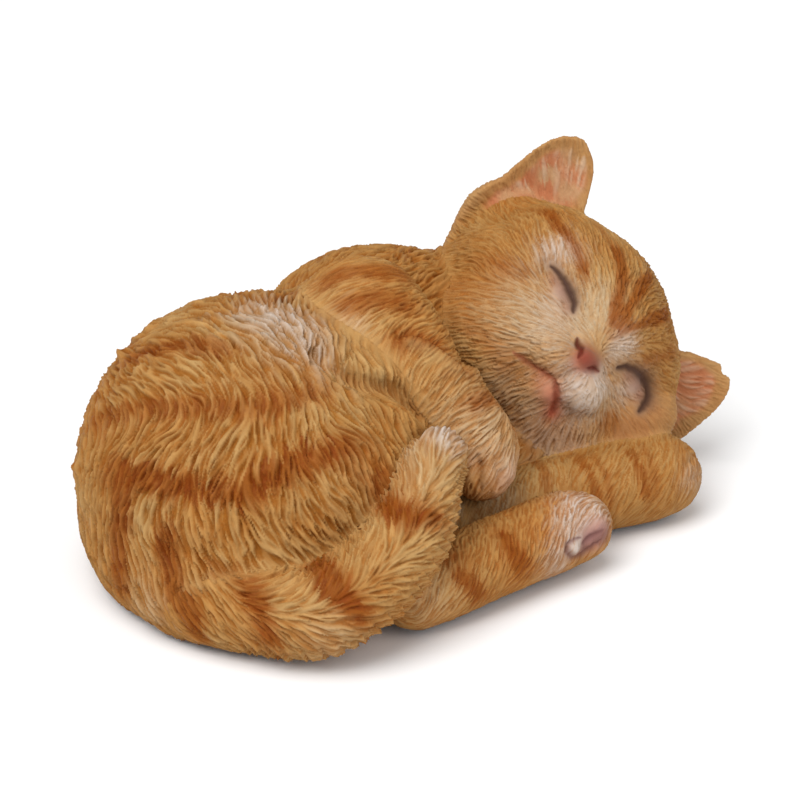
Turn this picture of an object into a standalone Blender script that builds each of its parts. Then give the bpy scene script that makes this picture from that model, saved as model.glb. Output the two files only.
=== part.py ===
# Sleeping kitten figurine: a hollow painted resin casting curled up on its
# side.  Head, forelegs, hind foot and tail are separate castings that sit in
# seats of the body on steel dowels; an oval plate closes the pour mouth
# underneath and four felt pads carry the figure.
import math

import bmesh
import bpy
from mathutils import Matrix, Vector

OBJECT = "sleeping_kitten_figurine"
MM = 0.001

# ---------------------------------------------------------------- dimensions
# Millimetres.  The shapes are laid out on the table top with u along the open
# side of the curled figure, v away from it and z up.  SPINE_TURN swings that
# layout so that +X runs from the rump to the head.
SPINE_TURN = 36.0                 # degrees
FOOTPRINT_CENTRE = (34.735, -0.794)  # middle of the footprint after the turn
UNDERSIDE = 1.5                   # ground underside above the table top
GAP = 0.35                        # glue line between neighbouring pieces
WALL = 5.0                        # least wall between the hollow and a seat
FLOOR_THICKNESS = 7.0             # body floor around the pour mouth
HOLLOW = ((-10, 4, 25), (38, 33, 29))   # hollow of the body, centre and half axes

HEAD_CENTRE = (65.7, 50.0, 40.3)
HEAD_LEAN = 25.0                  # face looks up by this much, degrees
HEAD_ROLL = 53.1                  # head lies over on its left cheek
HEAD_YAW = 18.0                   # nose turned towards the left cheek
EAR_THICKNESS = 4.4

PLATE_CENTRE = (-6.0, 5.0)
PLATE_TURN = 36.0                 # degrees from u
PLATE_HALF = (34.0, 28.0)
PLATE_THICKNESS = 3.0
MOUTH_LEDGE = 5.0                 # plate overlap around the pour mouth

PAD_RADIUS = 6.0
PAD_THICKNESS = 1.2
PAD_PLACES = ((-32.0, 8.0), (4.0, -26.0), (52.0, 32.0), (26.0, 58.0))

DOWEL_RADIUS = 2.0
DOWEL_CLEARANCE = 0.3
BOSS_RADIUS = 6.5

# Body: centre and half axes of each swelling.
BODY = (
    ((-2, 3, 24), (51, 46, 43)),      # haunch and rump
    ((-3, 1, 11), (51, 47, 17)),      # rump where it spreads on the ground
    ((18, 40, 31), (32, 31, 35)),     # shoulder and ribs
    ((36, 44, 14), (36, 34, 20)),     # chest on the ground
    ((42, 22, 16), (28, 22, 18)),     # belly floor
)
# Limbs: centre line points with the radius there.
NECK = ((26, 50, 36, 24), (42, 55, 35, 23), (58, 60, 34, 22))
UPPER_FORELEG = ((16.3, 16, 57.4, 17), (29.6, 8, 51.8, 14.5), (39.3, 3, 42.4, 12),
                 (45, 0, 33.9, 10), (45.8, -2, 27.7, 8))
LOWER_FORELEG = ((53.6, 8.1, 11, 10.2), (71.4, 18.5, 10.6, 10.4),
                 (84.2, 24, 10.6, 10.4), (89.4, 27.1, 11, 10.2))
HIND_FOOT = ((27.9, -30.2, 10, 9), (36, -24.5, 10.3, 9.3), (50.4, -12.5, 11, 9.3),
             (62.8, -2.9, 11.8, 9.2), (67.2, -1.2, 12, 8.2))
TAIL = ((-17.7, -40, 11.1, 9), (-6.8, -44, 11.3, 9.5), (4.6, -46, 13.2, 9.8),
        (15, -44, 17.7, 10), (23.9, -37, 23.4, 10), (29, -29, 30.7, 9),
        (31.3, -24, 37.9, 7.5), (32.6, -21, 42, 6.5))
# Head, in its own axes: x to the kitten's left, y out of the face, z to the crown.
HEAD_MIDDLE = (
    ((0, -1, 1.5), (27.5, 27, 25.8)),   # skull
    ((0, 19, -7), (13, 11, 10)),        # muzzle
    ((0, 20, -15), (7, 7, 5.5)),        # chin
    ((0, 22.5, 4), (6.5, 6.5, 8)),      # bridge of the nose
    ((0, 28, -1), (3.8, 2.6, 2.8)),     # nose
)
HEAD_PAIRS = (
    ((17, -3, -5), (17.5, 20, 16)),     # cheek and ruff
    ((27, -8, 8), (10, 9, 15)),         # ear root
    ((5.2, 24.5, -7.5), (7, 6, 5.6)),   # whisker pad
)
# Ear outlines: outer root, inner root, tip, outer edge.
EAR_RIGHT = ((-37.5, -8, -3), (-20, 1, 19), (-35.5, -1, 31.8), (-42, -4, 17))
EAR_LEFT = ((40.5, -7, 3), (20, 1, 19), (36.2, -1, 27.6), (42.5, -4, 15))
EYE_PLACES = ((-15.3, 21, 7), (15.3, 21, 7))

# Dowels: end in the limb, end in the body.
DOWELS = {
    "head_dowel": ((46.0, 51.2, 39.0), (25.0, 52.4, 37.7)),
    "upper_foreleg_dowel": ((15.0, 17.0, 51.0), (13.0, 19.0, 35.0)),
    "lower_foreleg_dowel": ((54.0, 8.3, 11.0), (37.0, -1.5, 11.0)),
    "hind_foot_dowel": ((30.5, -26.5, 10.5), (18.5, -14.0, 11.5)),
    "tail_dowel": ((3.5, -45.0, 13.0), (1.0, -28.0, 13.5)),
}

# Meshing of the organic castings.
VOXEL = 1.6
HEAD_VOXEL = 1.2

# Paint, linear colour values.
GINGER = (0.50, 0.24, 0.07, 1)
GINGER_LIGHT = (0.58, 0.31, 0.11, 1)
RUST = (0.40, 0.16, 0.04, 1)
CREAM = (0.62, 0.36, 0.15, 1)
DARK_BASE = (0.10, 0.035, 0.018, 1)
FELT = (0.045, 0.03, 0.022, 1)
STEEL = (0.55, 0.55, 0.56, 1)

# ------------------------------------------------------------------- helpers
for old in list(bpy.data.objects):
    bpy.data.objects.remove(old, do_unlink=True)

parts = bpy.data.collections.new(OBJECT)
cutters = bpy.data.collections.new("cutters")
bpy.context.scene.collection.children.link(parts)
bpy.context.scene.collection.children.link(cutters)


def material(name, colour, roughness, metallic=0.0):
    mat = bpy.data.materials.new(name)
    mat.use_nodes = True
    shader = mat.node_tree.nodes["Principled BSDF"]
    shader.inputs["Base Color"].default_value = colour
    shader.inputs["Roughness"].default_value = roughness
    shader.inputs["Metallic"].default_value = metallic
    return mat


def make(name, bm, home):
    mesh = bpy.data.meshes.new(name)
    bm.to_mesh(mesh)
    bm.free()
    obj = bpy.data.objects.new(name, mesh)
    home.objects.link(obj)
    if home is cutters:
        obj.hide_render = True
        obj.display_type = "WIRE"
    return obj


def bake(obj):
    """Replace an object's mesh by its evaluated shape."""
    graph = bpy.context.evaluated_depsgraph_get()
    mesh = bpy.data.meshes.new_from_object(obj.evaluated_get(graph))
    obj.modifiers.clear()
    obj.data = mesh
    return obj


def tidy(obj, merge=0.00002):
    """Weld loose seams and keep the one main body of a casting."""
    bm = bmesh.new()
    bm.from_mesh(obj.data)
    bmesh.ops.remove_doubles(bm, verts=bm.verts, dist=merge)
    bmesh.ops.dissolve_degenerate(bm, edges=bm.edges, dist=merge)
    left = set(bm.verts)
    bodies = []
    while left:
        seed = left.pop()
        group, front = {seed}, [seed]
        while front:
            vert = front.pop()
            for edge in vert.link_edges:
                other = edge.other_vert(vert)
                if other in left:
                    left.discard(other)
                    group.add(other)
                    front.append(other)
        bodies.append(group)
    bodies.sort(key=len)
    waste = [v for group in bodies[:-1] for v in group]
    bmesh.ops.delete(bm, geom=waste, context="VERTS")
    bmesh.ops.triangulate(bm, faces=bm.faces)
    bmesh.ops.recalc_face_normals(bm, faces=bm.faces)
    bm.to_mesh(obj.data)
    bm.free()
    return obj


def ball(bm, centre, half, frame=None, segments=40):
    """Add an ellipsoid to a shape."""
    place = Matrix.Translation(Vector(centre) * MM) @ Matrix.Diagonal((*(Vector(half) * MM), 1))
    if frame is not None:
        place = frame @ place
    bmesh.ops.create_uvsphere(bm, u_segments=segments, v_segments=segments * 3 // 5,
                              radius=1, matrix=place)


def smooth_rows(rows, steps):
    """Points of a smooth curve through rows of x, y, z and radius."""
    rows = [Vector(r) for r in rows]
    rows = [rows[0] * 2 - rows[1]] + rows + [rows[-1] * 2 - rows[-2]]
    out = []
    for a, b, c, d in zip(rows, rows[1:], rows[2:], rows[3:]):
        for k in range(steps):
            t = k / steps
            out.append(0.5 * (2 * b + (c - a) * t + (2 * a - 5 * b + 4 * c - d) * t ** 2
                              + (3 * b - a - 3 * c + d) * t ** 3))
    out.append(rows[-2])
    return out


def tube(bm, rows, grow=0.0):
    """Add a round tapering limb with rounded ends to a shape."""
    points = smooth_rows(rows, 4)
    curve = bpy.data.curves.new("limb", "CURVE")
    curve.dimensions = "3D"
    curve.bevel_depth = MM
    curve.bevel_resolution = 6
    curve.use_fill_caps = True
    spline = curve.splines.new("POLY")
    spline.points.add(len(points) - 1)
    for point, row in zip(spline.points, points):
        point.co = (row[0] * MM, row[1] * MM, row[2] * MM, 1)
        point.radius = row[3] + grow
    limb = bpy.data.objects.new("limb", curve)
    cutters.objects.link(limb)
    graph = bpy.context.evaluated_depsgraph_get()
    mesh = bpy.data.meshes.new_from_object(limb.evaluated_get(graph))
    bm.from_mesh(mesh)
    bpy.data.objects.remove(limb, do_unlink=True)
    for row in (points[0], points[-1]):
        ball(bm, row[:3], [row[3] + grow] * 3)


def fuse(name, bm, voxel, rounds, faces, home):
    """Melt overlapping shapes into one soft casting of about the given faces."""
    obj = make(name, bm, home)
    remesh = obj.modifiers.new("melt", "REMESH")
    remesh.mode = "VOXEL"
    remesh.voxel_size = voxel * MM
    soften = obj.modifiers.new("soften", "SMOOTH")
    soften.factor = 0.5
    soften.iterations = rounds
    bake(obj)
    thin = obj.modifiers.new("thin", "DECIMATE")
    thin.ratio = min(1.0, faces / (2.0 * len(obj.data.polygons)))
    bake(obj)
    return tidy(obj)


def combine(obj, other, operation="DIFFERENCE"):
    step = obj.modifiers.new(operation.lower(), "BOOLEAN")
    step.operation = operation
    step.solver = "EXACT"
    step.object = other
    bake(obj)
    return tidy(obj)


def skin(obj, thickness, name):
    """A cutter that follows an object at the given distance."""
    cutter = bpy.data.objects.new(name, obj.data.copy())
    cutters.objects.link(cutter)
    swell = cutter.modifiers.new("swell", "DISPLACE")
    swell.direction = "NORMAL"
    swell.mid_level = 0.0
    swell.strength = thickness * MM
    bake(cutter)
    cutter.hide_render = True
    cutter.display_type = "WIRE"
    return cutter


def block(name, low, high):
    bm = bmesh.new()
    size = Vector(high) - Vector(low)
    middle = (Vector(high) + Vector(low)) / 2
    bmesh.ops.create_cube(bm, size=1, matrix=Matrix.Translation(middle * MM)
                          @ Matrix.Diagonal((*(size * MM), 1)))
    return make(name, bm, cutters)


def rod(name, start, end, radius, home, sides=24, chamfer=0.0):
    """A round bar between two points."""
    start, end = Vector(start) * MM, Vector(end) * MM
    axis = end - start
    bm = bmesh.new()
    bmesh.ops.create_cone(bm, cap_ends=True, segments=sides, radius1=radius * MM,
                          radius2=radius * MM, depth=axis.length)
    turn = axis.to_track_quat("Z", "Y").to_matrix().to_4x4()
    bm.transform(Matrix.Translation((start + end) / 2) @ turn)
    obj = make(name, bm, home)
    if chamfer:
        edge = obj.modifiers.new("chamfer", "BEVEL")
        edge.width = chamfer * MM
        edge.segments = 1
        edge.limit_method = "ANGLE"
        edge.angle_limit = math.radians(60)
        bake(obj)
    return tidy(obj)


def oval(name, centre, half, turn, low, high, home, sides=64):
    """An upright oval disc."""
    bm = bmesh.new()
    bmesh.ops.create_cone(bm, cap_ends=True, segments=sides, radius1=1, radius2=1, depth=1)
    place = (Matrix.Translation(Vector((centre[0], centre[1], (low + high) / 2)) * MM)
             @ Matrix.Rotation(math.radians(turn), 4, "Z")
             @ Matrix.Diagonal((half[0] * MM, half[1] * MM, (high - low) * MM, 1)))
    bm.transform(place)
    return make(name, bm, home)


def head_frame():
    """Axes of the head on the table top, from its lean, roll and yaw."""
    lean, roll, yaw = (math.radians(a) for a in (HEAD_LEAN, HEAD_ROLL, HEAD_YAW))
    right = Vector((1, 0, 0))
    up = Vector((0, math.sin(lean), math.cos(lean)))
    out = Vector((0, -math.cos(lean), math.sin(lean)))
    side = math.cos(roll) * right - math.sin(roll) * up
    crown = math.sin(roll) * right + math.cos(roll) * up
    face = math.cos(yaw) * out + math.sin(yaw) * side
    left = math.cos(yaw) * side - math.sin(yaw) * out
    turn = Matrix((left, face, crown)).transposed().to_4x4()
    return Matrix.Translation(Vector(HEAD_CENTRE) * MM) @ turn


def ear(bm, frame, outline):
    """Add a flat rounded ear with the given outline to the head."""
    corners = [Vector(c) * MM for c in outline]
    origin = corners[0]
    along = (corners[2] - origin).normalized()
    normal = (corners[1] - origin).cross(along).normalized()
    across = normal.cross(along)
    curve = bpy.data.curves.new("ear", "CURVE")
    curve.dimensions = "2D"
    curve.fill_mode = "BOTH"
    curve.extrude = EAR_THICKNESS / 2 * MM
    spline = curve.splines.new("POLY")
    spline.points.add(3)
    spline.use_cyclic_u = True
    for point, corner in zip(spline.points, corners):
        point.co = ((corner - origin).dot(along), (corner - origin).dot(across), 0, 1)
    leaf = bpy.data.objects.new("ear", curve)
    cutters.objects.link(leaf)
    graph = bpy.context.evaluated_depsgraph_get()
    mesh = bpy.data.meshes.new_from_object(leaf.evaluated_get(graph))
    bpy.data.objects.remove(leaf, do_unlink=True)
    plane = Matrix((along, across, normal)).transposed().to_4x4()
    mesh.transform(frame @ Matrix.Translation(origin) @ plane)
    work = bmesh.new()
    work.from_mesh(mesh)
    bmesh.ops.remove_doubles(work, verts=work.verts, dist=0.00001)
    bmesh.ops.recalc_face_normals(work, faces=work.faces)
    work.to_mesh(mesh)
    work.free()
    bm.from_mesh(mesh)


def mirrored(row):
    (x, y, z), half = row
    return (-x, y, z), half


# ------------------------------------------------------------------ castings
floor = block("floor_cut", (-150, -150, -60), (200, 200, UNDERSIDE))
frame = head_frame()


def body_shape(grow):
    bm = bmesh.new()
    for centre, half in BODY:
        ball(bm, centre, [h + grow for h in half])
    tube(bm, NECK, grow)
    return bm


body = fuse("body_shell", body_shape(0), VOXEL, 8, 2200, parts)

bm = bmesh.new()
for row in HEAD_MIDDLE:
    ball(bm, *row, frame)
for row in HEAD_PAIRS:
    ball(bm, *row, frame)
    ball(bm, *mirrored(row), frame)
ear(bm, frame, EAR_RIGHT)
ear(bm, frame, EAR_LEFT)
head = fuse("head", bm, HEAD_VOXEL, 4, 2000, parts)

limbs = {}
for name, rows, faces in (("upper_foreleg", UPPER_FORELEG, 560),
                          ("lower_foreleg", LOWER_FORELEG, 480),
                          ("hind_foot", HIND_FOOT, 480),
                          ("tail", TAIL, 640)):
    bm = bmesh.new()
    tube(bm, rows)
    limbs[name] = fuse(name, bm, HEAD_VOXEL, 4, faces, parts)

for obj in [body] + list(limbs.values()):
    combine(obj, floor)

# Closed eyes: a curved furrow under each brow.
for index, place in enumerate(EYE_PLACES):
    bpy.ops.mesh.primitive_torus_add(major_segments=28, minor_segments=8,
                                     major_radius=7.0 * MM, minor_radius=0.9 * MM)
    furrow = bpy.context.object
    furrow.name = "eye_furrow_%d" % (index + 1)
    furrow.data.transform(frame @ Matrix.Translation((Vector(place) + Vector((0, 0, 3))) * MM)
                          @ Matrix.Rotation(math.radians(90), 4, "X"))
    for home in list(furrow.users_collection):
        home.objects.unlink(furrow)
    cutters.objects.link(furrow)
    furrow.hide_render = True
    furrow.display_type = "WIRE"
    # only the lower arc of the ring marks the lid
    low = bmesh.new()
    bmesh.ops.create_cube(low, size=1, matrix=frame
                          @ Matrix.Translation((Vector(place) + Vector((0, 0, -4))) * MM)
                          @ Matrix.Diagonal((0.03, 0.03, 0.008, 1)))
    lower_half = make("eye_side_%d" % (index + 1), low, cutters)
    combine(furrow, lower_half, "INTERSECT")
    combine(head, furrow)

# The limbs rest on each other: tail over foot, foot over foreleg, head on both forelegs.
tail_skin = skin(limbs["tail"], GAP, "tail_skin")
upper_skin = skin(limbs["upper_foreleg"], GAP, "upper_foreleg_skin")
combine(limbs["hind_foot"], tail_skin)
foot_skin = skin(limbs["hind_foot"], GAP, "hind_foot_skin")
combine(limbs["lower_foreleg"], foot_skin)
combine(limbs["lower_foreleg"], upper_skin)
lower_skin = skin(limbs["lower_foreleg"], GAP, "lower_foreleg_skin")
combine(head, lower_skin)
combine(head, upper_skin)
head_skin = skin(head, GAP, "head_skin")

# Seats of the head and limbs in the body.
for cutter in (head_skin, upper_skin, lower_skin, foot_skin, tail_skin):
    combine(body, cutter)

# Hollow of the body, kept one wall away from the shoulder seat and the dowels.
bm = bmesh.new()
ball(bm, *HOLLOW, segments=24)
hollow = make("body_hollow", bm, cutters)
combine(hollow, block("hollow_floor", (-150, -150, -60), (200, 200, UNDERSIDE + FLOOR_THICKNESS)))
bm = bmesh.new()
ball(bm, UPPER_FORELEG[0][:3], [UPPER_FORELEG[0][3] + WALL] * 3, segments=24)
combine(hollow, make("shoulder_wall", bm, cutters))
for name, (start, end) in DOWELS.items():
    reach = Vector(end) + (Vector(end) - Vector(start)).normalized() * 4
    boss = rod(name + "_boss", start, reach, BOSS_RADIUS, cutters, 20)
    combine(hollow, boss)
mouth = oval("pour_mouth", PLATE_CENTRE, [h - MOUTH_LEDGE for h in PLATE_HALF], PLATE_TURN,
             UNDERSIDE - 2, UNDERSIDE + FLOOR_THICKNESS + 3, cutters, 48)
combine(hollow, mouth, "UNION")
combine(body, hollow)

# Oval plate that closes the pour mouth, flush in its recess.
plate = oval("base_plate", PLATE_CENTRE, PLATE_HALF, PLATE_TURN,
             UNDERSIDE, UNDERSIDE + PLATE_THICKNESS, parts)
recess = oval("plate_recess", PLATE_CENTRE, [h + GAP for h in PLATE_HALF], PLATE_TURN,
              UNDERSIDE - 2, UNDERSIDE + PLATE_THICKNESS + GAP, cutters)
combine(body, recess)
tidy(plate)

# Dowels and their sockets.
holders = {"head_dowel": head, "upper_foreleg_dowel": limbs["upper_foreleg"],
           "lower_foreleg_dowel": limbs["lower_foreleg"],
           "hind_foot_dowel": limbs["hind_foot"], "tail_dowel": limbs["tail"]}
dowels = []
for name, (start, end) in DOWELS.items():
    start, end = Vector(start), Vector(end)
    along = (end - start).normalized()
    dowels.append(rod(name, start, end, DOWEL_RADIUS, parts, 20, 0.4))
    socket = rod(name + "_socket", start - along * DOWEL_CLEARANCE, end + along * DOWEL_CLEARANCE,
                 DOWEL_RADIUS + DOWEL_CLEARANCE, cutters, 20)
    combine(holders[name], socket)
    combine(body, socket)

pads = []
for index, (u, v) in enumerate(PAD_PLACES):
    pads.append(tidy(oval("felt_pad_%d" % (index + 1), (u, v), (PAD_RADIUS, PAD_RADIUS), 0,
                          0, PAD_THICKNESS, parts, 28)))

# ------------------------------------------------------------ paint and pose
paint = {
    "body_shell": material("ginger_resin_body", GINGER, 0.55),
    "head": material("ginger_resin_head", GINGER_LIGHT, 0.52),
    "upper_foreleg": material("ginger_resin_upper_foreleg", GINGER, 0.55),
    "lower_foreleg": material("ginger_resin_lower_foreleg", GINGER_LIGHT, 0.55),
    "hind_foot": material("ginger_resin_hind_foot", CREAM, 0.55),
    "tail": material("ginger_resin_tail", RUST, 0.55),
    "base_plate": material("dark_resin_plate", DARK_BASE, 0.6),
}
for obj in dowels:
    paint[obj.name] = material(obj.name + "_steel", STEEL, 0.35, 1.0)
for obj in pads:
    paint[obj.name] = material(obj.name + "_felt", FELT, 0.95)

root = bpy.data.objects.new("figurine_frame", None)
parts.objects.link(root)
root.location = (-FOOTPRINT_CENTRE[0] * MM, -FOOTPRINT_CENTRE[1] * MM, 0)
root.rotation_euler = (0, 0, -math.radians(SPINE_TURN))
for name, mat in paint.items():
    obj = bpy.data.objects[name]
    obj.data.materials.clear()
    obj.data.materials.append(mat)
    obj.data.shade_smooth()
    obj.data.set_sharp_from_angle(angle=math.radians(40))
    obj.parent = root
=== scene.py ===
"""Sleeping ginger kitten figurine: carved and hand-painted resin castings on a pale studio floor."""
import math
from concurrent.futures import ThreadPoolExecutor

import bpy
import numpy as np
from mathutils import Matrix, Vector


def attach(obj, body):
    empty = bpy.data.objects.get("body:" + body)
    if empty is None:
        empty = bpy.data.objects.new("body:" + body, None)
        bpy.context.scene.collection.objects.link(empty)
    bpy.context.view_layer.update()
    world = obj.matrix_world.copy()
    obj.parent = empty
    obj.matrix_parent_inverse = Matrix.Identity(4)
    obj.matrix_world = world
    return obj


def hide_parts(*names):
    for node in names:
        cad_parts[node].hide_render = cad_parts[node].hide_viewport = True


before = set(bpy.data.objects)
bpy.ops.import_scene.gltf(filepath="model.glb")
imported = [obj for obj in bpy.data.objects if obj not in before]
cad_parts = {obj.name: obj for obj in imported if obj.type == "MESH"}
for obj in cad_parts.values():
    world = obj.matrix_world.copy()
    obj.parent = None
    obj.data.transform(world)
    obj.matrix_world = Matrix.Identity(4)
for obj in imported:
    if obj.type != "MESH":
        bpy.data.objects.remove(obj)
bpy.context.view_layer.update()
F = np.float32
GRID = 0.72          # mm, grid that the soft shapes are sampled on
HEAD_GRID = 0.56
LIMB_GRID = 0.60
POOL = ThreadPoolExecutor(4)

# =========================================================== layout, millimetres
# u along the open side of the curled figure, v away from it, z up.
SPINE_TURN = math.radians(36.0)
CENTRE = np.array([34.735, -0.794, 0.0])
TURN = np.array([[math.cos(SPINE_TURN), math.sin(SPINE_TURN), 0],
                 [-math.sin(SPINE_TURN), math.cos(SPINE_TURN), 0], [0, 0, 1.0]])


def to_world(P):
    """Layout millimetres to metres in the part's frame."""
    return (np.asarray(P, float) @ TURN.T - CENTRE) * 0.001


UNDERSIDE = 1.2
# The view the figure is looked at from.
ELEV = math.radians(25.0)
LENS, SENSOR = 120.0, 36.0
FPX = 800 * LENS / SENSOR
TARGET = np.array([24.4, 20.0, 35.0])
CR = np.array([1.0, 0, 0])
CU = np.array([0, math.sin(ELEV), math.cos(ELEV)])
CT = np.array([0, -math.cos(ELEV), math.sin(ELEV)])
DIST = FPX / 4.1
CAM = TARGET + CT * DIST


def project(P):
    q = P - CAM
    z = -(q @ CT)
    return np.stack([400 + FPX * (q @ CR) / z, 400 - FPX * (q @ CU) / z, z], 1)


# ================================================================ distance fields
def ell(P, c, r):
    q = (P - np.array(c, F)) / np.array(r, F)
    k0 = np.sqrt((q * q).sum(1))
    b = q / np.array(r, F)
    k1 = np.sqrt((b * b).sum(1)) + F(1e-9)
    return np.where(k0 < 1e-4, -min(r), k0 * (k0 - 1) / k1)


def smin(a, b, k):
    h = np.clip(0.5 + 0.5 * (b - a) / k, 0, 1)
    return b + (a - b) * h - k * h * (1 - h)


def smax(a, b, k):
    return -smin(-a, -b, k)


def cone(P, a, b, ra, rb):
    a = np.array(a, F)
    b = np.array(b, F)
    ba = b - a
    l2 = float(ba @ ba)
    rr = ra - rb
    a2 = l2 - rr * rr
    il2 = 1 / l2
    pa = P - a
    y = pa @ ba
    z = y - l2
    x2 = ((pa * l2 - y[:, None] * ba) ** 2).sum(1)
    y2 = y * y * l2
    z2 = z * z * l2
    k = np.sign(rr) * rr * rr * x2
    d = (np.sqrt(np.maximum(x2 * a2 * il2, 0)) + y * rr) * il2 - ra
    d = np.where(np.sign(y) * a2 * y2 < k, np.sqrt(x2 + y2) * il2 - ra, d)
    return np.where(np.sign(z) * a2 * z2 > k, np.sqrt(x2 + z2) * il2 - rb, d)


def spline(rows, n):
    p = np.array(rows, float)
    p = np.vstack([2 * p[0] - p[1], p, 2 * p[-1] - p[-2]])
    out = []
    for a, b, c, d in zip(p, p[1:], p[2:], p[3:]):
        for t in np.linspace(0, 1, n, endpoint=False):
            out.append(0.5 * (2 * b + (c - a) * t + (2 * a - 5 * b + 4 * c - d) * t * t
                              + (3 * b - a - 3 * c + d) * t ** 3))
    out.append(p[-2])
    return np.array(out)


def chain(P, rows, n=3):
    s = spline(rows, n)
    d = None
    for a, b in zip(s[:-1], s[1:]):
        e = cone(P, a[:3], b[:3], a[3], b[3])
        d = e if d is None else np.minimum(d, e)
    return d


def poly2(x, z, pts):
    """Signed distance to a polygon."""
    pts = np.array(pts, float)
    d = np.full(x.shape, 1e9)
    s = np.ones(x.shape)
    for i in range(len(pts)):
        (ax, az), (bx, bz) = pts[i], pts[i - 1]
        ex, ez = bx - ax, bz - az
        wx, wz = x - ax, z - az
        t = np.clip((wx * ex + wz * ez) / (ex * ex + ez * ez), 0, 1)
        d = np.minimum(d, (wx - ex * t) ** 2 + (wz - ez * t) ** 2)
        c1, c2, c3 = z >= az, z < bz, ex * wz > ez * wx
        flip = (c1 & c2 & c3) | (~c1 & ~c2 & ~c3)
        s = np.where(flip, -s, s)
    return s * np.sqrt(d)


def step(a, b, x):
    t = np.clip((x - a) / (b - a), 0, 1)
    return t * t * (3 - 2 * t)


# ---------------------------------------------------------------- noise
RNG = np.random.default_rng(20488)
LATTICE = RNG.random((32, 32, 32)).astype(F)


def noise(P, scale, seed=0):
    """Smooth value noise, -1 to 1."""
    q = np.asarray(P, float) / scale + seed * 7.31
    i = np.floor(q).astype(int)
    f = q - i
    f = f * f * (3 - 2 * f)
    out = 0
    for dx in (0, 1):
        for dy in (0, 1):
            for dz in (0, 1):
                w = ((f[:, 0] if dx else 1 - f[:, 0]) * (f[:, 1] if dy else 1 - f[:, 1])
                     * (f[:, 2] if dz else 1 - f[:, 2]))
                out = out + w * LATTICE[(i[:, 0] + dx) & 31, (i[:, 1] + dy) & 31, (i[:, 2] + dz) & 31]
    return out * 2 - 1




# ================================================================ the castings
HEAD_CENTRE = np.array([65.7, 50.0, 40.3])


def head_axes(roll=53.1, yaw=18.0):
    r, y = math.radians(roll), math.radians(yaw)
    side = math.cos(r) * CR - math.sin(r) * CU
    crown = math.sin(r) * CR + math.cos(r) * CU
    face = math.cos(y) * CT + math.sin(y) * side
    left = math.cos(y) * side - math.sin(y) * CT
    return np.stack([left, face, crown], 1)


HEAD_AXES = head_axes()
UPPER = [(15.5, 16, 56.5, 16.5), (26.5, 8, 49.8, 13.6), (35.2, 3, 40.0, 11.4), (42.0, 0, 33.0, 10.0), (43.6, -2, 28.0, 8.2)]
LOWER = [(39, 1.5, 9.5, 9.0), (53.6, 8.1, 11, 10.2), (71.4, 18.5, 10.6, 10.4), (84.2, 24, 10.6, 10.4), (89.4, 27.1, 11, 10.2)]
HIND = [(27.9, -30.2, 10, 9), (36, -24.5, 10.3, 9.3), (50.4, -12.5, 11, 9.3), (62.8, -2.9, 11.2, 9.3), (66.9, -0.9, 11.2, 8.5)]
TAIL = [(-24, -30.5, 11, 8.5), (-16, -37.3, 11.6, 9.2), (-6.8, -42, 12.3, 9.7), (4.6, -46, 13.2, 10), (15, -44, 17.7, 10.1),
        (23.5, -37, 23.4, 9.9), (28.2, -29, 30.4, 8.8), (31, -24, 36.8, 7.4), (33.4, -21, 40.2, 6.2)]
FOLD = [(6, -13, 62.5, 2.4), (10.5, -16, 60, 3.6), (16.9, -16, 57, 4.4), (22, -13.8, 54.5, 4.6), (26.2, -11.2, 51.5, 4.4), (29.5, -10.5, 47, 3.6),
        (32, -10.5, 43, 2.4)]
# ear outlines, out to the side and up, in the head's frame
EAR_RIGHT = [(15, 12), (20.0, 22.0), (23.7, 28.0), (27.4, 31.5), (32.0, 33.0), (35.4, 32.7), (39.0, 29.0), (40.6, 23.8), (40.3, 17.6),
             (39.3, 10.8), (40.1, 6.7), (40.1, 2.2), (38.3, -1.4), (36.3, -5), (32, -10), (24, -6)]
EAR_LEFT = [(15, 10), (20.2, 17.6), (23.8, 20.9), (28.7, 24.7), (32.4, 27.0), (34.9, 28.5), (38.9, 28.4), (41.4, 26.0), (43.3, 21.4),
            (44.0, 15.7), (44.3, 10.7), (44.0, 6), (42.8, 0), (38, -7), (26, -6)]


def round_outline(rows, n=3):
    p = np.array(rows, float)
    out = []
    for k in range(len(p)):
        a, b, c, d = p[k - 1], p[k], p[(k + 1) % len(p)], p[(k + 2) % len(p)]
        for t in np.arange(n) / n:
            out.append(0.5 * (2 * b + (c - a) * t + (2 * a - 5 * b + 4 * c - d) * t * t + (3 * b - a - 3 * c + d) * t ** 3))
    return np.array(out)


EAR_RIGHT = round_outline(EAR_RIGHT)
EAR_LEFT = round_outline(EAR_LEFT)


def body_field(P):
    d = ell(P, (-7.5, 3, 24), (45.5, 46, 43))                          # haunch and rump
    d = smin(d, ell(P, (-5, 1, 11), (44.5, 45, 17)), 9)                # rump on the ground
    c = ell(P, (14, 40, 31), (29, 31, 33.5))                           # shoulder and ribs
    c = smin(c, ell(P, (36, 44, 14), (36, 34, 20)), 10)                # chest on the ground
    c = smin(c, cone(P, (26, 50, 35), (58, 60, 33), 24, 22), 10)       # neck
    c = smin(c, ell(P, (37, 22, 11), (23, 19, 12.5)), 6)               # belly
    d = smin(d, c, 2.2)
    return smax(d, -chain(P, FOLD, 2), 2.0)                            # fold in front of the thigh


def ear_cup(x, z, side):
    """How far forward the middle of the ear's wall stands: hollow in the middle, with the edges turned forward."""
    mid = 33.0 - 0.10 * (z - 10)
    return (-8.5 if side > 0 else -12.5) + 3.0 * np.clip((x - mid) / 9.5, -1.2, 1.25) ** 2 + 0.12 * (z - 5)


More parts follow.
